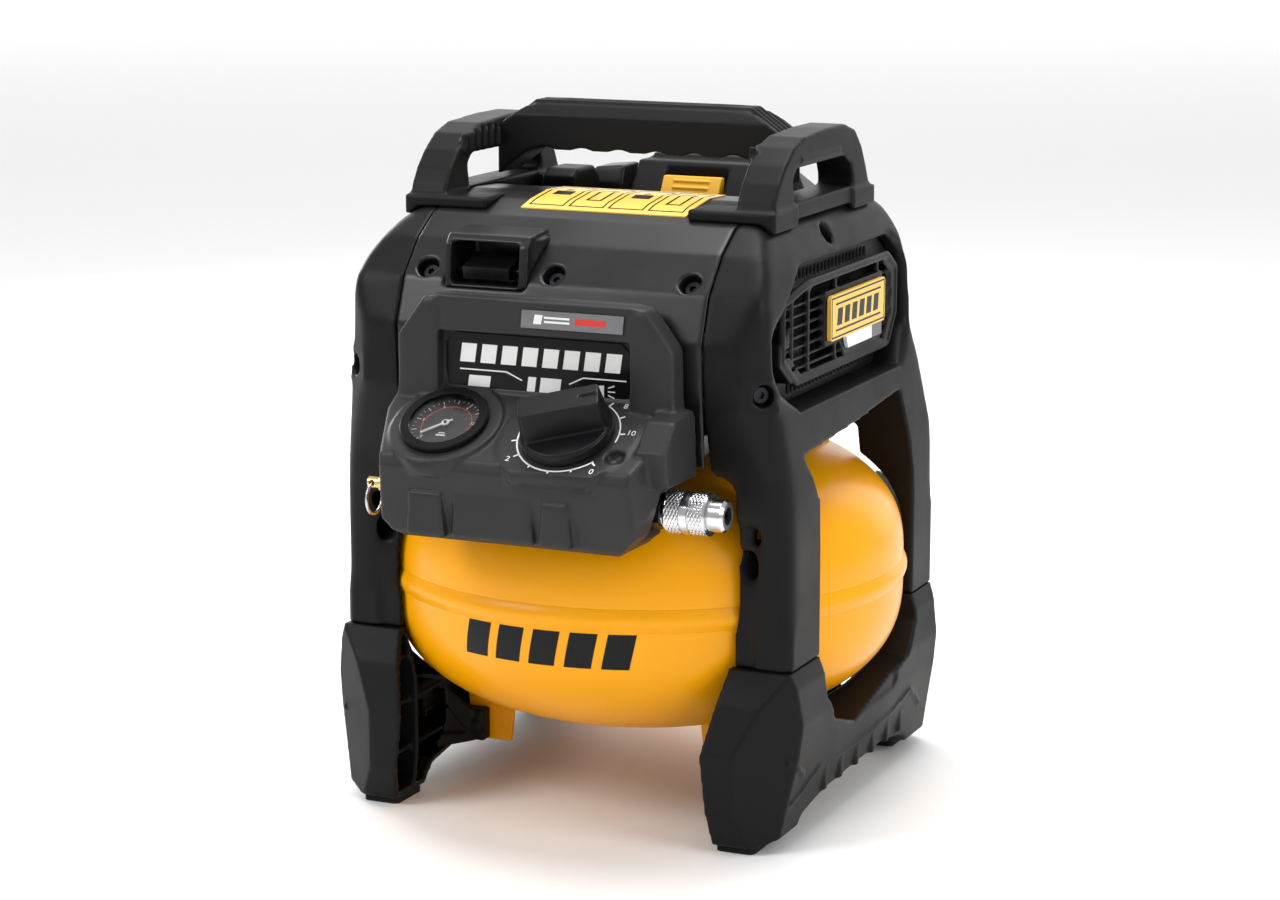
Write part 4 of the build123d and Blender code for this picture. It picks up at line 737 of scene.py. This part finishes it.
def gauge_print():
    """Pressure scale printed on the gauge's dial."""
    def place(u, v, height):
        return face_point(u, v, height - 0.38)
    centre = (GAUGE_X, 0.0)
    radius = (DIAL_HIGH.x - DIAL_LOW.x) / 2 / MM
    white = [tick(centre, a, radius - 4.5, radius - 1.6, 0.28) for a in range(-45, 226, 27)]
    white += [tick(centre, a, radius - 3.0, radius - 1.6, 0.16) for a in range(-45, 226, 9)]
    flat("gauge_ticks", white, place, 0.06)
    red = arc(centre, radius - 7.4, -45, 225, 0.5)
    red += [tick(centre, a, radius - 8.6, radius - 7.0, 0.18) for a in range(-45, 226, 18)]
    flat("gauge_red_scale", red, place, 0.06, "latch_yellow").data.materials[0] = RED
    for index, angle in enumerate(range(225, -46, -54)):
        a = math.radians(angle)
        numeral("gauge_number_%d" % index, str(index * 3), GAUGE_X + (radius - 6.2) * math.cos(a),
                (radius - 6.2) * math.sin(a), 2.7, place)
    flat("gauge_unit_mark", [rectangle(GAUGE_X - 3, -9.5, GAUGE_X + 3, -8.3), rectangle(GAUGE_X - 2, -7.4,
         GAUGE_X + 2, -6.6)], place, 0.06)


def console_print():
    """Generic marks in the console's label field."""
    def wall(u, v, height):
        return at(u, WALL_Y - 0.25 - height, DECK + v)
    field = [(-59, 43), (59, 43), (59, 70), (53, 76), (-53, 76), (-59, 70)]
    flat("console_field", [field], wall, 0.15, "gloss_black")

    def over(u, v, height):
        return wall(u, v, height + 0.16)
    shapes = []
    for step in range(8):
        u = -50 + step * 13.2
        shapes.append(rectangle(u, 59, u + 9.6, 70, 1.6))
    shapes += [strip(-50, 54.8, -20, 54.8, 0.8), strip(-20, 54.8, -10, 50.5, 0.8),
               strip(20, 50.5, 29, 54.8, 0.8), strip(29, 54.8, 56, 54.8, 0.8),
               rectangle(-45, 45, -31, 51.5, 1.0)]
    shapes += [rectangle(-7, 44.5, -2, 53, 1.2), rectangle(1, 44.5, 14, 53, 1.2)]
    shapes += [[(32, 47), (42, 44.5), (42, 51.5), (32, 50)]]
    shapes += [strip(44.5, 48, 49, 48, 0.7), strip(44.5, 50, 48.5, 51.6, 0.7),
               strip(44.5, 46, 48.5, 44.4, 0.7)]
    flat("console_marks", shapes, over)


def badge():
    """Grey plate on the console's brow, with plain bars."""
    def place(u, v, height):
        return at(u, WALL_Y - 6.6 - height, DECK + 88 + v)
    plate = [(-7, -5.2), (57, -5.2), (58, 5.2), (-6, 5.2)]
    piece = flat("badge", [plate], place, 1.4, "badge_grey")
    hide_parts("badge_plate")

    def over(u, v, height):
        return place(u, v, height + 1.42)
    shapes = [rectangle(1, -2.6, 6, 2.8, 1.2), rectangle(8, -1.6, 24, -0.4), rectangle(8, 0.8, 24, 2.0)]
    flat("badge_bars", shapes, over)
    accent = flat("badge_accent", [rectangle(27, -1.8, 46, 2.0, 1.0)], over, 0.12, "latch_yellow")
    accent.data.materials[0] = RED


def tank_mark():
    """Generic slanted bars printed on the tank's front."""
    def place(u, v, height):
        reach = TANK_R / MM + 0.06 + height
        drop = max(0.0, (TANK_SEAM / MM - SKIRT / MM - v)) / 85.0
        radius = reach * (1 - drop ** SHELL_POWER) ** (1 / SHELL_POWER)
        angle = math.radians(u)
        return at(radius * math.cos(angle), radius * math.sin(angle), v)
    shapes = []
    for step in range(5):
        u = -108.5 + step * 8.2
        for part in range(6):
            a0, a1 = u + part, u + part + 1.02
            if part == 5:
                a1 = u + part + 1
            for row in range(6):
                v0, v1 = 105.5 + row * 3.6, 105.5 + (row + 1) * 3.6
                lean0, lean1 = row * 0.28, (row + 1) * 0.28
                shapes.append([(a0 + lean0, v0), (a1 + lean0, v0), (a1 + lean1, v1), (a0 + lean1, v1)])
    flat("tank_mark", shapes, place, 0.08, "gloss_black")


# ---- Nameplates and labels --------------------------------------------------------------------
def nameplates():
    """Border, bars and lower tab of the plates on both grilles."""
    for side, node in ((1, "nameplate_right"), (-1, "nameplate_left")):
        low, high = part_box(node)
        face = (high.x if side > 0 else -low.x) / MM
        y0, y1 = (low.y - AXIS_Y) / MM, (high.y - AXIS_Y) / MM
        z0, z1 = low.z / MM, high.z / MM

        def place(u, v, height, face=face, side=side):
            return at(side * (face + height), u, v)
        dark = ring(y0 + 1.2, z0 + 1.2, y1 - 1.2, z1 - 1.2, 1.0)
        dark += [rectangle(y0 + 8, z1 - 6.2, y1 - 8, z1 - 5.0), rectangle(y0 + 8, z0 + 5.0, y1 - 8, z0 + 6.2)]
        for step in range(6):
            u = y0 + 10 + step * 12.4
            dark.append(rectangle(u, z0 + 8.4, u + 8.2, z1 - 8.4, 1.6))
        flat(node + "_print", dark, place, 0.12, "gloss_black")

        def behind(u, v, height, face=face, side=side):
            return at(side * (face - 2.0 + height * 12), u, v)
        tab = [(y0 + 26, z0 + 1), (y0 + 31, z0 - 8), (y0 + 72, z0 - 8), (y0 + 72, z0 + 1)]
        flat(node + "_tab", [tab], behind, 0.12, "needle_white")
        end = [(y0 + 72.6, z0 + 1), (y0 + 72.6, z0 - 8), (y0 + 89, z0 - 8), (y0 + 89, z0 + 1)]
        flat(node + "_end", [end], behind, 0.12, "badge_grey")


def strip_icons():
    """Four dark pictogram fields on the crest label."""
    low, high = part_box("label_strip")
    spots = [vertex.co for vertex in frame["nodes"]["label_strip"].data.vertices]
    rows = sorted({round(c.y, 5): c.z for c in sorted(spots, key=lambda c: c.z)}.items())
    ys, zs = np.array([row[0] for row in rows]), np.array([row[1] for row in rows])

    def place(u, v, height):
        y = low.y + v * MM
        return Vector((low.x + u * MM, y, float(np.interp(y, ys, zs)) + (0.08 + height) * MM))
    width, depth = (high.x - low.x) / MM, (high.y - low.y) / MM
    shapes = []
    for step in range(4):
        u = 3 + step * (width - 4) / 4
        span = (width - 4) / 4 - 3
        shapes += [s for piece in ring(u, 5, u + span, depth - 5, 1.0) for s in split(piece)]
        middle = u + span / 2
        if step % 2:
            shapes += [s for piece in ring(middle - 5, 16, middle + 5, depth - 16, 1.4) for s in split(piece)]
        else:
            shapes += split(rectangle(middle - 6, depth / 2 - 4, middle + 6, depth / 2 + 4))
            shapes += split(rectangle(middle - 2, depth / 2 + 6, middle + 2, depth / 2 + 12))
    flat("label_icons", shapes, place, 0.1, "gloss_black")


def split(shape, longest=3.0):
    """Cut an upright rectangle into short rows so that it follows a curved label."""
    (u0, v0), (u1, _), (_, v1), _ = shape
    count = max(1, int(abs(v1 - v0) / longest))
    rows = []
    for step in range(count):
        a, b = v0 + (v1 - v0) * step / count, v0 + (v1 - v0) * (step + 1) / count
        rows.append([(u0, a), (u1, a), (u1, b), (u0, b)])
    return rows


# ---- Coupler ----------------------------------------------------------------------------------
SLEEVE_BORE = 0.0091        # radius, metres
KNURL_COUNT = 16            # diamonds round the sleeve
KNURL_PITCH = 0.0021
KNURL_DEPTH = 0.00045
SLEEVE_END = 0.05           # plain share of the length at each end


def coupler():
    """Knurled release sleeve with a smooth band between two knurled bands."""
    low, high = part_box("coupler_sleeve")
    middle = Vector(((low.x + high.x) / 2, (low.y + high.y) / 2, (low.z + high.z) / 2))
    length, reach = high.x - low.x, (high.y - low.y) / 2
    around, along = ((192, 110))
    bm = bmesh.new()
    rings = []
    for step in range(along + 1):
        t = step / along
        x = low.x + length * t
        between = SLEEVE_END < t < 1 - SLEEVE_END
        chamfer = min(1.0, min(t, 1 - t) / SLEEVE_END)
        loop = []
        for turn in range(around):
            angle = 2 * math.pi * turn / around
            radius = reach - 0.0004 * (1 - chamfer)
            if between and abs(t - 0.5) > 0.11:
                a = abs(((angle * KNURL_COUNT / (2 * math.pi) + x / KNURL_PITCH) % 1) - 0.5)
                b = abs(((angle * KNURL_COUNT / (2 * math.pi) - x / KNURL_PITCH) % 1) - 0.5)
                radius -= KNURL_DEPTH * max(0.0, 1 - min(a, b) * 5)
            elif between:
                radius -= 0.0009 if abs(t - 0.5) > 0.085 else 0.0002
            across, up = radius * math.cos(angle), radius * math.sin(angle)
            loop.append(bm.verts.new((x, middle.y + across, middle.z + up)))
        rings.append(loop)
    ends = []
    for x in (low.x, high.x):
        loop = []
        for turn in range(around):
            angle = 2 * math.pi * turn / around
            across, up = SLEEVE_BORE * math.cos(angle), SLEEVE_BORE * math.sin(angle)
            loop.append(bm.verts.new((x, middle.y + across, middle.z + up)))
        ends.append(loop)
    loops = [ends[0]] + rings + [ends[1], ends[0]]
    for first, second in zip(loops, loops[1:]):
        for turn in range(around):
            after = (turn + 1) % around
            bm.faces.new((first[turn], first[after], second[after], second[turn]))
    bmesh.ops.recalc_face_normals(bm, faces=bm.faces)
    piece = smooth(from_bmesh("coupler_sleeve_knurled", bm))
    piece.data.set_sharp_from_angle(angle=math.radians(30))
    finish_piece(piece, "nickel", "sleeve", "coupler_sleeve")


# ---- Grilles ----------------------------------------------------------------------------------
def chord(polygon, value, axis=1):
    """Lowest and highest crossing of a convex polygon at a value of one coordinate."""
    hits = []
    for a, b in zip(polygon, polygon[1:] + polygon[:1]):
        if (a[axis] - value) * (b[axis] - value) <= 0 and a[axis] != b[axis]:
            t = (value - a[axis]) / (b[axis] - a[axis])
            hits.append(a[1 - axis] + t * (b[1 - axis] - a[1 - axis]))
    return (min(hits), max(hits)) if hits else (0, 0)


def grilles():
    """Grilles with an eight-sided raised frame, slats and uprights over a dark opening."""
    low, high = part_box("grille_right")
    face, back = high.x / MM, low.x / MM
    y0, y1 = (low.y - AXIS_Y) / MM, (high.y - AXIS_Y) / MM
    z0, z1 = low.z / MM, high.z / MM
    hub = [(y0 + 20, z0 + 62), (y0 + 20, z0 + 29), (y0 + 41, z0 + 14), (y1 - 27, z0 + 14),
           (y1 - 14, z0 + 32), (y1 - 14, z1 - 20), (y1 - 28, z1 - 11), (y0 + 60, z1 - 11)]
    middle = (sum(p[0] for p in hub) / 8, sum(p[1] for p in hub) / 8)

    def shrunk(across, up):
        return [(middle[0] + (y - middle[0]) * across, middle[1] + (z - middle[1]) * up) for y, z in hub]
    window = shrunk(0.90, 0.86)
    closed = hub + hub[:1]
    rim = ridge([at(face - 1.6, y, z) for y, z in closed], 2.7)
    floor = [prism(shrunk(0.97, 0.95), "x", back - 0.5, back + 0.6)]
    slats = []
    z = z0 + 20
    while z < z1 - 18:
        a, b = chord(window, z)
        slats.append(box(face - 5.5, face - 2.4, a - 2, b + 2, z, z + 1.9))
        z += 6.2
    for y in (y0 + 36, y0 + 62, y0 + 106, y1 - 44, y1 - 26):
        a, b = chord(window, y, 0)
        slats.append(box(face - 5, face - 1.4, y, y + 3.2, a - 2, b + 2))
    plate_low, plate_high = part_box("nameplate_right")
    py0, py1 = (plate_low.y - AXIS_Y) / MM, (plate_high.y - AXIS_Y) / MM
    pz0, pz1 = plate_low.z / MM, plate_high.z / MM
    rest = [(py0 - 3, pz1 + 3), (py0 - 3, pz0 - 3), (py0 + 22, pz0 - 3),
            (py0 + 29, pz0 - 11), (py1 + 1, pz0 - 11), (py1 + 3, pz1 + 3)]
    slats.append(prism(rest, "x", face - 5, face - 0.4))
    for step in range(4):
        z = z0 + 26 + step * 15
        slats.append(box(back + 1, back + 6.5, y0 + 1.5, y0 + 11, z, z + 7))
    piece = skin("grille_right", 2, extra=rim + floor + slats, voxel=0.0009,
                 cuts=[prism(window, "x", face - 9, face + 2)])
    twin(piece, "grille_left")


def mouldings():
    """Soft-edged skins of the plastic parts."""
    side_frames()
    boots()
    side_handles()
    carry_handle()
    console()
    grilles()
    skin("centre_shroud", 5, melts=((shroud_front, 14),))
    skin("switch_hood", 14, voxel=0.0009)
    skin("battery_case", 4)
    skin("rear_bumpers", 6)
    skin("regulator_knob", 4, voxel=0.0006)
    skin("leg_gussets", 2, voxel=0.0011)
    skin("battery_button", 2, voxel=0.0006)


def shroud_front(p):
    """Where the shroud is rounded: its upper front, clear of the side seams."""
    inside = 1 - ramp(np.abs(p[:, 0]), 84, 92)
    return inside * ramp(p[:, 2], DECK + 70, DECK + 80) * (1 - ramp(p[:, 1], 20, 40)) * well_guard(p)


def well_guard(p):
    """0 at the shroud's screw recesses and at the hood, 1 elsewhere."""
    guard = np.ones(len(p))
    for x in (-84, -2, 84):
        guard *= ramp(np.hypot(p[:, 0] - x, p[:, 2] - DECK - 109), 10, 15)
    hood = (p[:, 0] > -76) & (p[:, 0] < -6) & (p[:, 2] > DECK + 92) & (p[:, 1] < -80)
    return np.where(hood, 0, guard)


def marks():
    """All printed marks."""
    knob_scale()
    gauge_print()
    console_print()
    badge()
    tank_mark()
    nameplates()
    strip_icons()


# ---- Stage ------------------------------------------------------------------------------------
FLOOR_HALF = 12
BACKDROP_HALF = 9
BACKDROP_PLACE = (-3.0, 6.5, 0)
BACKDROP_TURN = 24                  # degrees, square to the camera's direction
EYE = at(783.55, -1751.47, 596.49)
YAW, PITCH = math.radians(24.24), math.radians(11.57)
LENS, SENSOR = 88.47, 36.0


def area_light(name, place, target, size, power, tall=None):
    """Soft rectangular light aimed at a point."""
    data = bpy.data.lights.new(name, "AREA")
    data.shape = "RECTANGLE"
    data.size = size
    data.size_y = tall or size
    data.energy = power
    lamp = bpy.data.objects.new(name, data)
    lamp.location = place
    lamp.rotation_euler = (Vector(target) - Vector(place)).to_track_quat("-Z", "Y").to_euler()
    bpy.context.scene.collection.objects.link(lamp)


def stage():
    """Pale floor, pale surroundings and soft lights."""
    bm = bmesh.new()
    bmesh.ops.create_grid(bm, x_segments=1, y_segments=1, size=FLOOR_HALF)
    floor = from_bmesh("floor", bm)
    s = Shader("floor_paper", (0.86, 0.86, 0.86), 0.65)
    s.bump(s.noise(300.0, 2.0, 0.5), 0.00005, 0.1)
    floor.data.materials.append(s.material)
    bm = bmesh.new()
    bmesh.ops.create_grid(bm, x_segments=1, y_segments=1, size=BACKDROP_HALF)
    bmesh.ops.rotate(bm, matrix=Matrix.Rotation(math.radians(90), 3, "X"), verts=bm.verts)
    backdrop = from_bmesh("backdrop", bm)
    backdrop.location = BACKDROP_PLACE
    backdrop.rotation_euler = (0, 0, math.radians(BACKDROP_TURN))
    sheet = Shader("backdrop_paper", (0.9, 0.9, 0.9), 0.8)
    sheet.bump(sheet.noise(200.0, 2.0, 0.5), 0.00005, 0.1)
    sheet.shader.inputs["Emission Color"].default_value = (1, 1, 1, 1)
    sheet.shader.inputs["Emission Strength"].default_value = 1.1
    backdrop.data.materials.append(sheet.material)
    world = bpy.data.worlds.new("studio")
    world.use_nodes = True
    world.node_tree.nodes["Background"].inputs["Color"].default_value = (0.95, 0.95, 0.95, 1)
    world.node_tree.nodes["Background"].inputs["Strength"].default_value = 0.55
    bpy.context.scene.world = world
    focus = (0, 0, 0.22)
    area_light("key", (-1.3, -1.5, 1.7), focus, 1.0, 26)
    area_light("side", (1.9, -0.4, 1.1), focus, 0.9, 16)
    area_light("top", (0.0, 0.2, 2.2), focus, 1.2, 36)
    area_light("rim", (-1.6, 0.9, 0.9), focus, 0.8, 18)
    bpy.context.scene.view_settings.view_transform = "Standard"
    bpy.context.scene.view_settings.look = "None"


def camera():
    """Camera in front of the machine's right corner, looking slightly down."""
    data = bpy.data.cameras.new("camera")
    data.sensor_width = SENSOR
    data.lens = LENS
    data.clip_start = 0.05
    eye = bpy.data.objects.new("camera", data)
    eye.location = EYE
    look = Vector((-math.sin(YAW) * math.cos(PITCH), math.cos(YAW) * math.cos(PITCH), -math.sin(PITCH)))
    eye.rotation_euler = look.to_track_quat("-Z", "Y").to_euler()
    bpy.context.scene.collection.objects.link(eye)
    bpy.context.scene.camera = eye


dress_cad_nodes()
tank()
mouldings()
coupler()
marks()
stage()
camera()
